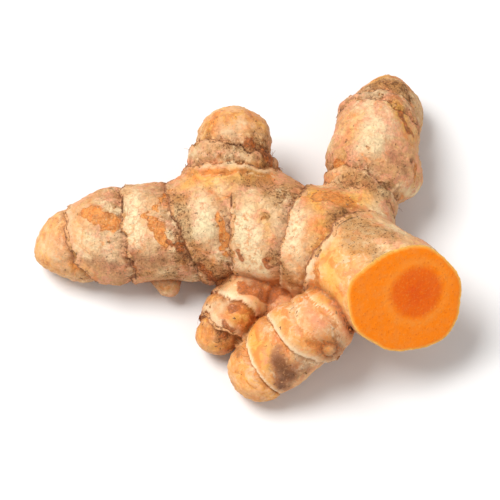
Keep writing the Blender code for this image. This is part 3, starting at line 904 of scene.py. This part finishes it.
def bark_colour(tree, colours, place, warmth, tender, pink, quick, fine):
    """Mottled bark: corky cream and tan, or tender peach, flushed pink, yellow and orange in places, and a
    painted highlight in cream on the trunk's top.
    """
    mix, rise, times = tree.mixed, tree.rise, tree.times
    cream = times(warmth, -1.0, clamp=True)
    warm = times(warmth, 1.0, clamp=True)
    slow = tree.noise(place, 120.0, 3.0, 0.5, 0.3)
    middle = tree.noise(place, 300.0, 4.0, 0.65, 0.6)
    bark = mix(rise(slow, 0.42, 0.66, 0.75), colours.tan, colours.cream)
    bark = mix(rise(middle, 0.45, 0.62, 0.75), bark, colours.pink)
    bark = mix(rise(quick, 0.50, 0.68, 0.6), bark, colours.yellow)
    flush = rise(tree.noise(place, 190.0, 5.0, 0.7, 0.8), 0.53, 0.66, 0.6)
    bark = mix(flush, bark, colours.orange)
    soft = mix(rise(middle, 0.42, 0.56), colours.peach, colours.young)
    soft = mix(rise(tree.noise(place, 430.0, 3.0, 0.55, 0.6), 0.52, 0.55, 0.95), soft, colours.orange)
    soft = mix(rise(tree.noise(place, 350.0, 4.0, 0.6, 0.9), 0.56, 0.60, 0.85), soft, colours.pale)
    bark = mix(times(tender, 0.9), bark, soft)
    glow = mix(rise(middle, 0.45, 0.56, 0.9), colours.young, colours.orange)
    bark = mix(times(warm, rise(quick, 0.26, 0.46, 0.96)), bark, glow)
    bark = mix(times(pink, rise(middle, 0.34, 0.52, 0.75)), bark, colours.pink)
    # Cream in the cream places: pale skin, and on the top of the trunk a painted highlight.
    bark = mix(times(cream, rise(quick, 0.34, 0.56, 0.9)), bark, colours.cream)
    pale = times(rise(fine, 0.54, 0.72, 0.45), tree.scaled(warm, -0.75, 1.0))
    bark = mix(pale, bark, colours.cream)
    dull = tree.scaled(tender, -0.25, 0.4)
    return mix(times(rise(fine, 0.45, 0.30), dull), bark, colours.bruise)


def skin_material(colours):
    """Corky skin: mottled bark, orange rubbed patches, brown scars, bruises, soil and young tips, with painted
    shade at the rings, in the creases and underneath, and a painted highlight on top.
    """
    material, tree, shader, place = new_material("turmeric_skin")
    mix, rise, times = tree.mixed, tree.rise, tree.times
    grown = tree.add("ShaderNodeAttribute", attribute_name="grown").outputs["Vector"]
    bare_field, soil_and_shade_field, bruise = tree.parts("wear")
    shadow, trail, rim = tree.parts("ring")
    young, crease, scar = tree.parts("age")
    warmth, brown, cut = tree.parts("tint")
    tender, pink, growth = tree.parts("soft")
    firm = tree.scaled(tender, -0.8, 1.0)
    grain = tree.placed(grain_group(), {"Grown": grown, "Object": place, "Coarseness": 1.1})
    quick = tree.noise(place, 760.0, 5.0, 0.7, 0.4)
    fine = tree.noise(place, 1700.0, 4.0, 0.7, 0.3)
    bark = bark_colour(tree, colours, place, warmth, tender, pink, quick, fine)

    edge_noise = tree.scaled(quick, 0.34, times(fine, 0.16))
    bare_level = tree.maths("ADD", bare_field, tree.maths("SUBTRACT", edge_noise, 0.25))
    bare = rise(bare_level, 0.42, 0.50)
    streak = rise(grain["Shade"], 0.40, 0.60)
    rubbed = mix(rise(tree.noise(place, 480.0, 5.0, 0.7), 0.40, 0.62), colours.orange, colours.ochre)
    rubbed = mix(times(streak, 0.35), rubbed, colours.yellow)
    frayed = times(rise(bare_level, 0.36, 0.46), tree.maths("SUBTRACT", 1.0, bare))
    skin = mix(times(frayed, 0.5), bark, colours.orange)
    worn = times(bare, rise(fine, 0.28, 0.44, 0.96))
    skin = mix(worn, skin, rubbed)
    edge = times(times(bare, firm), rise(bare_level, 0.58, 0.48))
    skin = mix(times(edge, rise(fine, 0.42, 0.60, 0.8)), skin, colours.brown)

    tip_look = mix(rise(quick, 0.46, 0.68, 0.5), colours.young, colours.orange)
    patches = tree.noise(place, 400.0, 4.0, 0.6, 0.8)
    tip_look = mix(rise(patches, 0.56, 0.60, 0.7), tip_look, colours.ochre)
    tip_look = mix(rise(patches, 0.51, 0.46, 0.85), tip_look, colours.peach)
    tip_look = mix(rise(fine, 0.50, 0.70, 0.25), tip_look, colours.cream)
    plain = tree.scaled(tree.maths("ABSOLUTE", warmth), -0.65, 0.75)
    skin = mix(times(young, plain, clamp=True), skin, tip_look)
    lines = times(young, rise(growth, -0.75, -1.0))
    skin = mix(times(lines, rise(quick, 0.42, 0.60, 0.5)), skin, colours.ochre)
    # Grey-brown bruises, with painted shade at one place in the crease between the trunk and the stub.
    bruise_and_shade_mask = rise(tree.scaled(quick, 0.6, bruise), 0.46, 1.26, 0.95)
    bruise_and_shade_colour = mix(rise(quick, 0.40, 0.62, 0.8), colours.brown, colours.bruise)
    bruise_and_shade_colour = mix(rise(bruise, 0.75, 1.0, 0.6), bruise_and_shade_colour, colours.dark)
    bruise_and_shade_colour = mix(rise(fine, 0.52, 0.66, 0.4), bruise_and_shade_colour, colours.tan)
    skin = mix(bruise_and_shade_mask, skin, bruise_and_shade_colour)

    # Soil colour towards the floor: partly a soil stain and partly painted shade of the underside.
    under = tree.add("ShaderNodeSeparateXYZ", {0: place}).outputs[2]
    underside_soil_and_shade = times(rise(under, 0.013, 0.001), rise(quick, 0.36, 0.64, 0.55))
    skin = mix(underside_soil_and_shade, skin, colours.soil)
    # Soil dust in brown, strong enough to darken the skin; by the crease at the lower end of the third ring it
    # is partly painted shade.
    soil_and_shade_level = tree.maths("ADD", soil_and_shade_field, tree.scaled(quick, 0.9, -0.45))
    soil = rise(soil_and_shade_level, 0.15, 0.85)
    dirt_and_shade = mix(rise(quick, 0.54, 0.66), colours.soil, colours.brown)
    skin = mix(times(soil, 0.62), skin, dirt_and_shade)

    # Brown stain after each ring and before it on firm skin: partly dirt and partly painted shade along the
    # ledges.
    ring_dirt_and_shade = times(trail, rise(quick, 0.36, 0.58))
    ring_dirt_and_shade = tree.maths("MAXIMUM", ring_dirt_and_shade, times(rim, rise(quick, 0.42, 0.66, 0.7)))
    ring_dirt_and_shade = times(ring_dirt_and_shade, times(firm, tree.scaled(bare, -0.7, 1.0)))
    skin = mix(times(ring_dirt_and_shade, 0.82), skin, colours.brown)
    pale_rim = times(tender, rise(rim, 0.12, 0.50, 0.95))
    skin = mix(pale_rim, skin, colours.pale)
    # Painted shadow: an ochre-brown line after each ring on the tender skin.
    tender_ring_shadow = times(times(trail, tender), rise(quick, 0.30, 0.56, 0.9))
    skin = mix(tender_ring_shadow, skin, mix(0.4, colours.ochre, colours.brown))
    # Dry brown scale in its places; at the lower end of the third ring and under the trunk it is partly
    # painted shade.
    brown_scale_and_shade_mask = rise(tree.maths("ADD", brown, times(edge_noise, 1.9)), 0.80, 1.08, 0.9)
    dry_scale_and_shade = mix(rise(quick, 0.38, 0.62), colours.brown, colours.ochre)
    dry_scale_and_shade = mix(rise(fine, 0.50, 0.68, 0.5), dry_scale_and_shade, colours.pink)
    skin = mix(brown_scale_and_shade_mask, skin, dry_scale_and_shade)
    # Painted shadow: a dark line in the shade of the ledge after each ring, with the dark rims of the root
    # scars.
    ring_shadow_and_scar = times(shadow, rise(quick, 0.30, 0.50))
    ring_shadow_and_scar = tree.maths("MAXIMUM", ring_shadow_and_scar, times(scar, 0.7))
    skin = mix(times(ring_shadow_and_scar, 0.6), skin, mix(tender, colours.brown, colours.ochre))
    # Where limbs meet: an orange-brown line, partly the skin's own colour and partly painted shade in the
    # crease.
    crease_line_and_shade = times(crease, rise(quick, 0.20, 0.42, 0.95))
    skin = mix(crease_line_and_shade, skin, mix(rise(fine, 0.38, 0.54), colours.ochre, colours.brown))
    # Painted shadow: where these lines are strongest on firm skin they turn dark soil colour, scar rims
    # included.
    deep = times(rise(ring_shadow_and_scar, 0.45, 0.95, 0.7), firm)
    skin = mix(deep, skin, colours.dark)

    amount = tree.maths("ADD", times(soil, 0.75), times(ring_dirt_and_shade, 0.7))
    amount = tree.maths("ADD", times(amount, firm), times(bruise, 0.45), clamp=True)
    small = tree.placed(specks_group(), {"Vector": place, "Scale": 2300.0, "Amount": amount})["Mask"]
    large = tree.placed(specks_group(), {"Vector": place, "Scale": 1150.0, "Amount": amount})["Mask"]
    specks = tree.maths("MAXIMUM", times(small, 0.55), times(large, 0.6))
    skin = mix(specks, skin, colours.dark)
    cracked = times(tree.scaled(bruise, 0.3, 0.10), firm)
    cracked = times(grain["Cracks"], cracked)
    skin = mix(times(cracked, tree.maths("SUBTRACT", 1.0, young)), skin, colours.brown)
    skin = mix(cut, skin, colours.rim)

    rough = tree.maths("SUBTRACT", 0.66, times(tree.maths("MAXIMUM", young, tender), 0.2))
    rough = tree.maths("SUBTRACT", rough, times(bare, 0.14))
    rough = tree.maths("ADD", rough, times(soil, 0.25), clamp=True)
    shader.inputs["Specular IOR Level"].default_value = 0.3
    finish_surface(tree, shader, skin, rough, grain["Height"], times(firm, 0.8), 0.0004)
    return material


def flesh_material(colours, core):
    """Cut flesh: bright orange, a darker core with a faint ring round it, and the dots of cut strands."""
    material, tree, shader, place = new_material("turmeric_flesh")
    mix, rise, times = tree.mixed, tree.rise, tree.times
    inputs = {0: place, 1: Vector(core) * MM}
    offset = tree.add("ShaderNodeVectorMath", inputs, operation="SUBTRACT").outputs[0]
    wobble = tree.noise(place, 260.0, 3.0, 0.5)
    far = tree.add("ShaderNodeVectorMath", {0: offset}, operation="LENGTH").outputs["Value"]
    far = tree.scaled(tree.maths("SUBTRACT", wobble, 0.5), 0.0018, far)
    mottle = tree.noise(place, 420.0, 5.0, 0.65)
    flesh = mix(rise(mottle, 0.40, 0.66, 0.4), colours.flesh, colours.orange)
    inside = rise(far, 0.0067, 0.0048)
    flesh = mix(times(inside, 0.62), flesh, colours.stele)
    heart = times(rise(far, 0.0044, 0.0010), rise(mottle, 0.34, 0.60, 0.7))
    flesh = mix(heart, flesh, colours.stele)
    ring = times(rise(far, 0.0062, 0.0070), rise(far, 0.0086, 0.0072))
    flesh = mix(times(ring, 0.10), flesh, colours.rim)
    strands = tree.add("ShaderNodeTexVoronoi", {"Vector": place, "Scale": 1100.0}).outputs["Distance"]
    dots = rise(strands, 0.30, 0.10)
    flesh = mix(times(dots, 0.22), flesh, colours.stele)
    grain = tree.noise(place, 2100.0, 4.0, 0.65)
    flesh = mix(rise(grain, 0.52, 0.72, 0.22), flesh, colours.rim)
    edge = tree.add("ShaderNodeAttribute", attribute_name="edge").outputs["Fac"]
    flesh = mix(rise(edge, 0.95, 1.0, 0.5), flesh, colours.rim)
    shader.inputs["Specular IOR Level"].default_value = 0.14
    height = tree.maths("ADD", grain, times(dots, 0.5))
    finish_surface(tree, shader, flesh, tree.scaled(grain, 0.25, 0.36), height, 0.6, 0.0002)
    return material


def paper_material(colours):
    """Dry papery scale remains: tan at their base, brown and stained at their free edge."""
    material, tree, shader, place = new_material("papery_scale")
    mix, rise, times = tree.mixed, tree.rise, tree.times
    free = tree.add("ShaderNodeAttribute", attribute_name="free").outputs["Fac"]
    blots = tree.noise(place, 700.0, 4.0, 0.6, 0.6)
    paper = mix(rise(blots, 0.40, 0.65), colours.tan, colours.soil)
    paper = mix(times(rise(free, 0.2, 0.9), 0.8), paper, colours.brown)
    specks = tree.placed(specks_group(), {"Vector": place, "Scale": 1500.0, "Amount": 0.8})["Mask"]
    paper = mix(times(specks, 0.7), paper, colours.dark)
    grain = tree.placed(grain_group(), {"Grown": place, "Object": place, "Coarseness": 900.0})
    finish_surface(tree, shader, paper, tree.scaled(blots, 0.2, 0.62), grain["Height"], 0.4, 0.0002)
    return material


def plain_material(name, first, second, scale, roughness):
    """A rough two-tone finish for crumbs and fibres."""
    material, tree, shader, place = new_material(name)
    blots = tree.noise(place, scale, 3.0, 0.6)
    colour = tree.mixed(tree.rise(blots, 0.35, 0.65), first, second)
    finish_surface(tree, shader, colour, tree.scaled(blots, 0.15, roughness))
    return material


def dress(piece, material):
    """Gives a piece its material, smooth with its sharp edges kept."""
    piece.data.materials.append(material)
    piece.data.shade_smooth()
    piece.data.set_sharp_from_angle(angle=SHARP_ANGLE)


def ring_strip(limb, limbs, number, sizes, seed):
    """Points of the papery margin of one ring, as rows from its rooted to its free side, with gaps."""
    radius = float(np.interp(limb.rings[number][0], np.arange(len(limb.radii)) * SPINE_STEP, limb.radii))
    count = max(24, int(2 * math.pi * radius / MARGIN_STEP))
    turn = np.linspace(-math.pi, math.pi, count, endpoint=False)
    edge = limb.ring_edge(number, turn)
    index = (edge / SPINE_STEP).round().astype(int).clip(0, len(limb.radii) - 1)
    out = np.cos(turn)[:, None] * limb.top[index] + np.sin(turn)[:, None] * limb.side[index]
    start = limb.points[index] + (edge - index * SPINE_STEP)[:, None] * limb.along[index]
    root = start + limb.radii[index][:, None] * out - MARGIN_ROOT * limb.along[index]
    for _ in range(SNAP_ROUNDS):
        gap, way, facts = gap_to_skin(root, limbs, sizes)
        root = root - gap[:, None] * way
    own = np.array([limbs[int(n)] is limb for n in facts[:, 0]])
    patchy = (fractal(start + out, 3.0, 2, seed) + 0.30).clip(0, 1)
    ragged = 0.6 + 0.7 * np.abs(fractal(start + 8 * out, 1.1, 3, seed + 1))
    reach = limb.tear * sizes.margin * patchy * ragged
    shown = own & (facts[:, 8] < 0.4) & (reach > MARGIN_LEAST) & (root[:, 2] > MARGIN_CLEAR)
    rows = []
    for share, lift in MARGIN_ROWS:
        ahead = np.full(count, -0.6) if share < 0 else 0.2 + share * reach
        curl = lift * (0.5 + patchy)
        rows.append(root + ahead[:, None] * limb.along[index] + curl[:, None] * way)
    return np.stack(rows), shown


def build_margins(sizes):
    """The papery remains of the scale leaves along every ring, as thin ragged strips."""
    limbs = [Limb(**facts) for facts in LIMBS.values()]
    bm = bmesh.new()
    free = bm.verts.layers.float.new("free")
    for order, limb in enumerate(limbs):
        for number in range(len(limb.rings)):
            rows, shown = ring_strip(limb, limbs, number, sizes, 20 + 3 * order + number)
            last, count = rows.shape[0] - 1, rows.shape[1]
            made = {}
            for at in range(count):
                after = (at + 1) % count
                if not (shown[at] and shown[after]):
                    continue
                for row in range(last):
                    corners = ((row, at), (row, after), (row + 1, after), (row + 1, at))
                    for corner in corners:
                        if corner not in made:
                            made[corner] = bm.verts.new((rows[corner] - MIDDLE) * MM)
                            made[corner][free] = corner[0] / last
                    bm.faces.new([made[corner] for corner in corners])
    piece = add_piece("scale_margins", mesh_from(bm, "scale_margins"))
    thick = piece.modifiers.new("paper", "SOLIDIFY")
    thick.thickness = sizes.margin_thickness * MM
    thick.offset = 0.0
    bpy.context.view_layer.update()
    baked(piece)
    bm = bmesh.new()
    bm.from_mesh(piece.data)
    bmesh.ops.recalc_face_normals(bm, faces=bm.faces)
    bm.to_mesh(piece.data)
    bm.free()
    return piece


def build_flesh(outline):
    """The knife-cut face: a thin slab of flesh that fills the skin's rim and stands a little proud."""
    normal = np.array(CUT_NORMAL) / np.linalg.norm(CUT_NORMAL)
    closed = np.vstack([outline, outline[:1]])
    travelled = np.concatenate([[0], np.cumsum(np.linalg.norm(np.diff(closed, axis=0), axis=1))])
    at = np.linspace(0, travelled[-1], FACE_POINTS, endpoint=False)
    rim = np.stack([np.interp(at, travelled, closed[:, k]) for k in range(3)], axis=1)
    middle = rim.mean(axis=0)
    if np.cross(rim[0] - middle, rim[FACE_POINTS // 8] - middle) @ normal < 0:
        rim = rim[::-1]
    inward = middle - rim
    frayed = np.exp(-((np.linalg.norm(rim - FRAYED_RIM, axis=1) / 6) ** 2))
    inset = 0.18 + 0.16 * np.abs(fractal(rim, 1.5, 2, 31)) + 0.7 * frayed * np.abs(fractal(rim, 0.9, 2, 32))
    rim = rim + inward / np.linalg.norm(inward, axis=1)[:, None] * inset[:, None]
    bm = bmesh.new()
    edge = bm.verts.layers.float.new("edge")

    def vertex(place, share):
        made = bm.verts.new(place * MM)
        made[edge] = share
        return made

    layers = []
    for share in ((k / FACE_RINGS) ** 0.8 for k in range(1, FACE_RINGS + 1)):
        flat = middle + (rim - middle) * share
        relief = 0.16 + 0.20 * (1 - share**2)
        relief = relief + 0.05 * fractal(flat, 1.4, 3, 33) + 0.03 * fractal(flat, 0.5, 2, 34)
        relief = relief - 0.14 * smooth_step(np.full(FACE_POINTS, share), 0.955, 1.0)
        layers.append([vertex(place, share) for place in flat + relief[:, None] * normal])
    layers.append([vertex(place, 1.0) for place in rim - FACE_DEPTH * normal])
    hub = vertex(middle + FACE_HEIGHT * normal, 0.0)
    for k in range(FACE_POINTS):
        after = (k + 1) % FACE_POINTS
        bm.faces.new((hub, layers[0][k], layers[0][after]))
        for inner, outer in zip(layers, layers[1:]):
            bm.faces.new((inner[k], outer[k], outer[after], inner[after]))
    bm.faces.new(layers[-1][::-1])
    bmesh.ops.recalc_face_normals(bm, faces=bm.faces)
    return add_piece("cut_flesh", mesh_from(bm, "cut_flesh"))


class Growth:
    """A Geometry Nodes tree that scatters copies of a small form over the skin."""

    def __init__(self, name, attribute, material, settings):
        group = bpy.data.node_groups.new(name, "GeometryNodeTree")
        group.interface.new_socket(name="Skin", in_out="INPUT", socket_type="NodeSocketGeometry")
        for setting, value in {"Density": 1.0, **settings}.items():
            made = group.interface.new_socket(name=setting, in_out="INPUT", socket_type="NodeSocketFloat")
            made.default_value = value
        group.interface.new_socket(name="Seed", in_out="INPUT", socket_type="NodeSocketInt")
        group.interface.new_socket(name="Copies", in_out="OUTPUT", socket_type="NodeSocketGeometry")
        self.group, self.tree, self.material = group, Tree(group), material
        self.source = self.tree.add("NodeGroupInput").outputs
        self.target = self.tree.add("NodeGroupOutput").inputs
        field = self.tree.add("GeometryNodeInputNamedAttribute", {"Name": attribute}, data_type="FLOAT")
        density = self.tree.times(field.outputs["Attribute"], self.source["Density"])
        inputs = {"Mesh": self.source["Skin"], "Density": density, "Seed": self.source["Seed"]}
        self.spread = self.tree.add("GeometryNodeDistributePointsOnFaces", inputs).outputs

    def random(self, low, high):
        """A random number or vector between the two, one for each copy."""
        kind = "FLOAT" if isinstance(low, float) else "FLOAT_VECTOR"
        low_at, high_at, out_at = {"FLOAT": (2, 3, 1), "FLOAT_VECTOR": (0, 1, 0)}[kind]
        inputs = {"Seed": self.source["Seed"], low_at: low, high_at: high}
        return self.tree.add("FunctionNodeRandomValue", inputs, data_type=kind).outputs[out_at]

    def turned(self, turn):
        """The rotation off the skin, turned further by a rotation in its own axes."""
        inputs = {"Rotation": self.spread["Rotation"], "Rotate By": turn}
        return self.tree.add("FunctionNodeRotateRotation", inputs, rotation_space="LOCAL").outputs["Rotation"]

    def finish(self, rotation, form, size):
        """Places the form on the points, and ends the tree."""
        inputs = {"Points": self.spread["Points"], "Instance": form, "Rotation": rotation, "Scale": size}
        copies = self.tree.add("GeometryNodeInstanceOnPoints", inputs).outputs["Instances"]
        for kind in ("GeometryNodeRealizeInstances", "GeometryNodeSetShadeSmooth"):
            copies = self.tree.add(kind, {"Geometry": copies}).outputs["Geometry"]
        dressed = self.tree.add("GeometryNodeSetMaterial", {"Geometry": copies, "Material": self.material})
        self.tree.link(dressed.outputs["Geometry"], self.target["Copies"])

    def grow(self, name, skin, values):
        """Runs the tree on a copy of the skin, and keeps what it makes as a plain mesh."""
        piece = add_piece(name, skin.data.copy())
        grower = piece.modifiers.new(name, "NODES")
        grower.node_group = self.group
        for item in self.group.interface.items_tree:
            if item.in_out == "INPUT" and item.name in values:
                grower[item.identifier] = values[item.name]
        bpy.context.view_layer.update()
        return baked(piece)


def crumb_growth(material):
    """Small uneven crumbs of soil, half sunk in the skin."""
    growth = Growth("scatter_crumbs", "soil_amount", material, {"Size": 0.2 * MM})
    ball = growth.tree.add("GeometryNodeMeshIcoSphere", {"Radius": 1.0, "Subdivisions": 1}).outputs["Mesh"]
    spin = growth.random((-3.1, -3.1, -3.1), (3.1, 3.1, 3.1))
    shape = growth.random((0.3, 0.3, 0.25), (1.0, 1.0, 0.8))
    inputs = {0: shape, 3: growth.source["Size"]}
    growth.finish(spin, ball, growth.tree.add("ShaderNodeVectorMath", inputs, operation="SCALE").outputs[0])
    return growth


def fibre_growth(material):
    """Fine tapered root fibres that lean over the skin and bend."""
    growth = Growth("sprout_fibres", "fibre_amount", material, {"Length": 2.0 * MM, "Radius": 0.07 * MM})
    tree = growth.tree
    bends = []
    for forward, upward in ((0.25, 0.5), (0.8, 0.62)):
        length = growth.source["Length"]
        inputs = {0: tree.times(length, forward), 2: tree.times(length, upward)}
        bends.append(tree.add("ShaderNodeCombineXYZ", inputs).outputs[0])
    inputs = {"Resolution": 6, "Start": (0.0, 0.0, -0.0002), "Middle": bends[0], "End": bends[1]}
    curve = tree.add("GeometryNodeCurveQuadraticBezier", inputs).outputs["Curve"]
    taper = tree.scaled(tree.add("GeometryNodeSplineParameter").outputs["Factor"], -0.75, 1.0)
    tapered = tree.add("GeometryNodeSetCurveRadius", {"Curve": curve, "Radius": taper}).outputs["Curve"]
    inputs = {"Resolution": 5, "Radius": growth.source["Radius"]}
    ring = tree.add("GeometryNodeCurvePrimitiveCircle", inputs).outputs["Curve"]
    inputs = {"Curve": tapered, "Profile Curve": ring, "Fill Caps": True}
    hair = tree.add("GeometryNodeCurveToMesh", inputs)
    if "Scale" in hair.inputs:
        tree.link(taper, hair.inputs["Scale"])
    spin = growth.random((-0.3, -0.5, -3.1), (0.3, 0.7, 3.1))
    size = growth.random(0.35, 1.0)
    growth.finish(growth.turned(spin), hair.outputs["Mesh"], size)
    return growth


def flake_growth(material):
    """Small curled papery flakes, close to the skin."""
    growth = Growth("peel_flakes", "flake_amount", material, {"Size": 1.0 * MM})
    tree = growth.tree
    inputs = {"Size": (1.0, 0.6, 0.07), "Vertices X": 5, "Vertices Y": 4, "Vertices Z": 2}
    sheet = tree.add("GeometryNodeMeshCube", inputs).outputs["Mesh"]
    place = tree.add("GeometryNodeInputPosition").outputs["Position"]
    along, across = tree.add("ShaderNodeSeparateXYZ", {0: place}).outputs[:2]
    inputs = {1: tree.times(across, tree.times(along, -0.9)), 2: tree.times(tree.times(along, along), 0.3)}
    inputs = {"Geometry": sheet, "Offset": tree.add("ShaderNodeCombineXYZ", inputs).outputs[0]}
    curled = tree.add("GeometryNodeSetPosition", inputs).outputs["Geometry"]
    inputs = {"Geometry": curled, "Name": "free", "Value": tree.maths("ADD", along, 0.5)}
    flake = tree.add("GeometryNodeStoreNamedAttribute", inputs, data_type="FLOAT").outputs["Geometry"]
    spin = growth.random((-0.15, -0.15, -3.1), (0.15, 0.15, 3.1))
    size = tree.times(growth.random(0.35, 1.0), growth.source["Size"])
    growth.finish(growth.turned(spin), flake, size)
    return growth


class RHIZOME_OT_skin(bpy.types.Operator):
    """Grow the fine skin of the whole rhizome in place of the plain solid"""

    bl_idname = "rhizome.grow_skin"
    bl_label = "Grow skin"

    def execute(self, context):
        piece, outline = build_skin(context.scene.rhizome_sizes)
        dress(piece, skin_material(context.scene.rhizome_colours))
        context.scene["rhizome_cut_outline"] = outline.ravel().tolist()
        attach(piece, BODY)
        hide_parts(NODE)
        return {"FINISHED"}


class RHIZOME_OT_cut(bpy.types.Operator):
    """Lay the knife-cut face of orange flesh on the cut end"""

    bl_idname = "rhizome.lay_cut_face"
    bl_label = "Lay cut face"

    def execute(self, context):
        outline = np.array(context.scene["rhizome_cut_outline"]).reshape(-1, 3)
        piece = build_flesh(outline)
        dress(piece, flesh_material(context.scene.rhizome_colours, STELE))
        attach(piece, BODY)
        return {"FINISHED"}


class RHIZOME_OT_margins(bpy.types.Operator):
    """Peel the papery margins of the scale leaves along the rings"""

    bl_idname = "rhizome.peel_margins"
    bl_label = "Peel scale margins"

    def execute(self, context):
        piece = build_margins(context.scene.rhizome_sizes)
        dress(piece, paper_material(context.scene.rhizome_colours))
        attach(piece, BODY)
        return {"FINISHED"}


class RHIZOME_OT_litter(bpy.types.Operator):
    """Scatter papery flakes, root fibres and soil crumbs over the skin"""

    bl_idname = "rhizome.scatter_litter"
    bl_label = "Scatter flakes, fibres and soil"

    def execute(self, context):
        sizes, colours = context.scene.rhizome_sizes, context.scene.rhizome_colours
        skin = bpy.data.objects["rhizome_skin"]
        per_square = 1 / MM**2
        soil = plain_material("soil_crumb", colours.brown, colours.dark, 1500.0, 0.8)
        fibre = plain_material("root_fibre", colours.brown, colours.soil, 900.0, 0.7)
        flakes = flake_growth(bpy.data.materials["papery_scale"])
        fibre_form = {"Length": sizes.fibre * MM, "Radius": sizes.fibre_radius * MM}
        kinds = (
            (crumb_growth(soil), "soil_crumbs", sizes.crumb_density, {"Size": sizes.crumb * MM}),
            (fibre_growth(fibre), "root_fibres", FIBRE_DENSITY, fibre_form),
            (flakes, "papery_flakes", FLAKE_DENSITY, {"Size": sizes.flake * MM}),
        )
        for order, (growth, name, density, form) in enumerate(kinds):
            values = {"Density": density * per_square, "Seed": sizes.seed + order, **form}
            piece = growth.grow(name, skin, values)
            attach(piece, BODY)
        return {"FINISHED"}


class RHIZOME_OT_stage(bpy.types.Operator):
    """Set the pale floor, the soft studio light and the camera"""

    bl_idname = "rhizome.set_stage"
    bl_label = "Set stage"

    def execute(self, context):
        set_floor(context.scene.rhizome_colours)
        set_lights()
        set_camera()
        return {"FINISHED"}


def set_floor(colours):
    """A wide pale floor under the rhizome."""
    bm = bmesh.new()
    bmesh.ops.create_grid(bm, x_segments=8, y_segments=8, size=FLOOR_SIZE / 2)
    floor = add_piece("studio_floor", mesh_from(bm, "studio_floor"))
    material, _, shader, _ = new_material("studio_floor")
    shader.inputs["Base Color"].default_value = (*colours.floor, 1.0)
    shader.inputs["Roughness"].default_value = 0.9
    floor.data.materials.append(material)


def set_lights():
    """Square soft lights that shine at the rhizome, and a white world."""
    for name, place, width, power in LIGHTS:
        lamp = bpy.data.lights.new(name, "AREA")
        lamp.shape = "SQUARE"
        lamp.size = width
        lamp.energy = power
        light = bpy.data.objects.new(name, lamp)
        light.location = place
        light.rotation_mode = "QUATERNION"
        light.rotation_quaternion = (-Vector(place)).to_track_quat("-Z", "Y")
        bpy.context.scene.collection.objects.link(light)
    world = bpy.data.worlds.new("studio")
    bpy.context.scene.world = world
    world.use_nodes = True
    background = world.node_tree.nodes["Background"]
    background.inputs["Color"].default_value = (1.0, 1.0, 1.0, 1.0)
    background.inputs["Strength"].default_value = WORLD_STRENGTH
    bpy.context.scene.view_settings.view_transform = "Standard"


def set_camera():
    """The camera at the photograph's angle."""
    sine, cosine = math.sin(CAMERA_ELEVATION), math.cos(CAMERA_ELEVATION)
    right, up, near = Vector((1, 0, 0)), Vector((0, sine, cosine)), Vector((0, -cosine, sine))
    target = right * AIM_RIGHT + up * AIM_UP + near * AIM_NEAR
    camera = bpy.data.objects.new("camera", bpy.data.cameras.new("camera"))
    camera.location = target + near * CAMERA_DISTANCE
    camera.rotation_mode = "QUATERNION"
    camera.rotation_quaternion = (-near).to_track_quat("-Z", "Y")
    camera.data.sensor_width = SENSOR
    camera.data.lens = SENSOR * CAMERA_DISTANCE / VIEW_WIDTH
    camera.data.clip_start, camera.data.clip_end = CAMERA_CLIP
    bpy.context.scene.collection.objects.link(camera)
    bpy.context.scene.camera = camera


class RHIZOME_PT_panel(bpy.types.Panel):
    """Sizes, colours and steps of the rhizome"""

    bl_idname = "RHIZOME_PT_panel"
    bl_label = "Turmeric rhizome"
    bl_space_type = "VIEW_3D"
    bl_region_type = "UI"
    bl_category = "Rhizome"

    def draw(self, context):
        for settings in (context.scene.rhizome_sizes, context.scene.rhizome_colours):
            box = self.layout.box()
            for name in type(settings).__annotations__:
                box.prop(settings, name)
        for operator in OPERATORS:
            self.layout.operator(operator.bl_idname)


OPERATORS = (RHIZOME_OT_skin, RHIZOME_OT_cut, RHIZOME_OT_margins, RHIZOME_OT_litter, RHIZOME_OT_stage)
CLASSES = (RhizomeSizes, RhizomeColours, *OPERATORS, RHIZOME_PT_panel)


def register():
    for each in CLASSES:
        bpy.utils.register_class(each)
    bpy.types.Scene.rhizome_sizes = PointerProperty(type=RhizomeSizes)
    bpy.types.Scene.rhizome_colours = PointerProperty(type=RhizomeColours)


def unregister():
    del bpy.types.Scene.rhizome_colours
    del bpy.types.Scene.rhizome_sizes
    for each in reversed(CLASSES):
        bpy.utils.unregister_class(each)


def main():
    register()
    bpy.ops.rhizome.grow_skin()
    bpy.ops.rhizome.lay_cut_face()
    bpy.ops.rhizome.peel_margins()
    bpy.ops.rhizome.scatter_litter()
    bpy.ops.rhizome.set_stage()


if __name__ == "__main__":
    main()
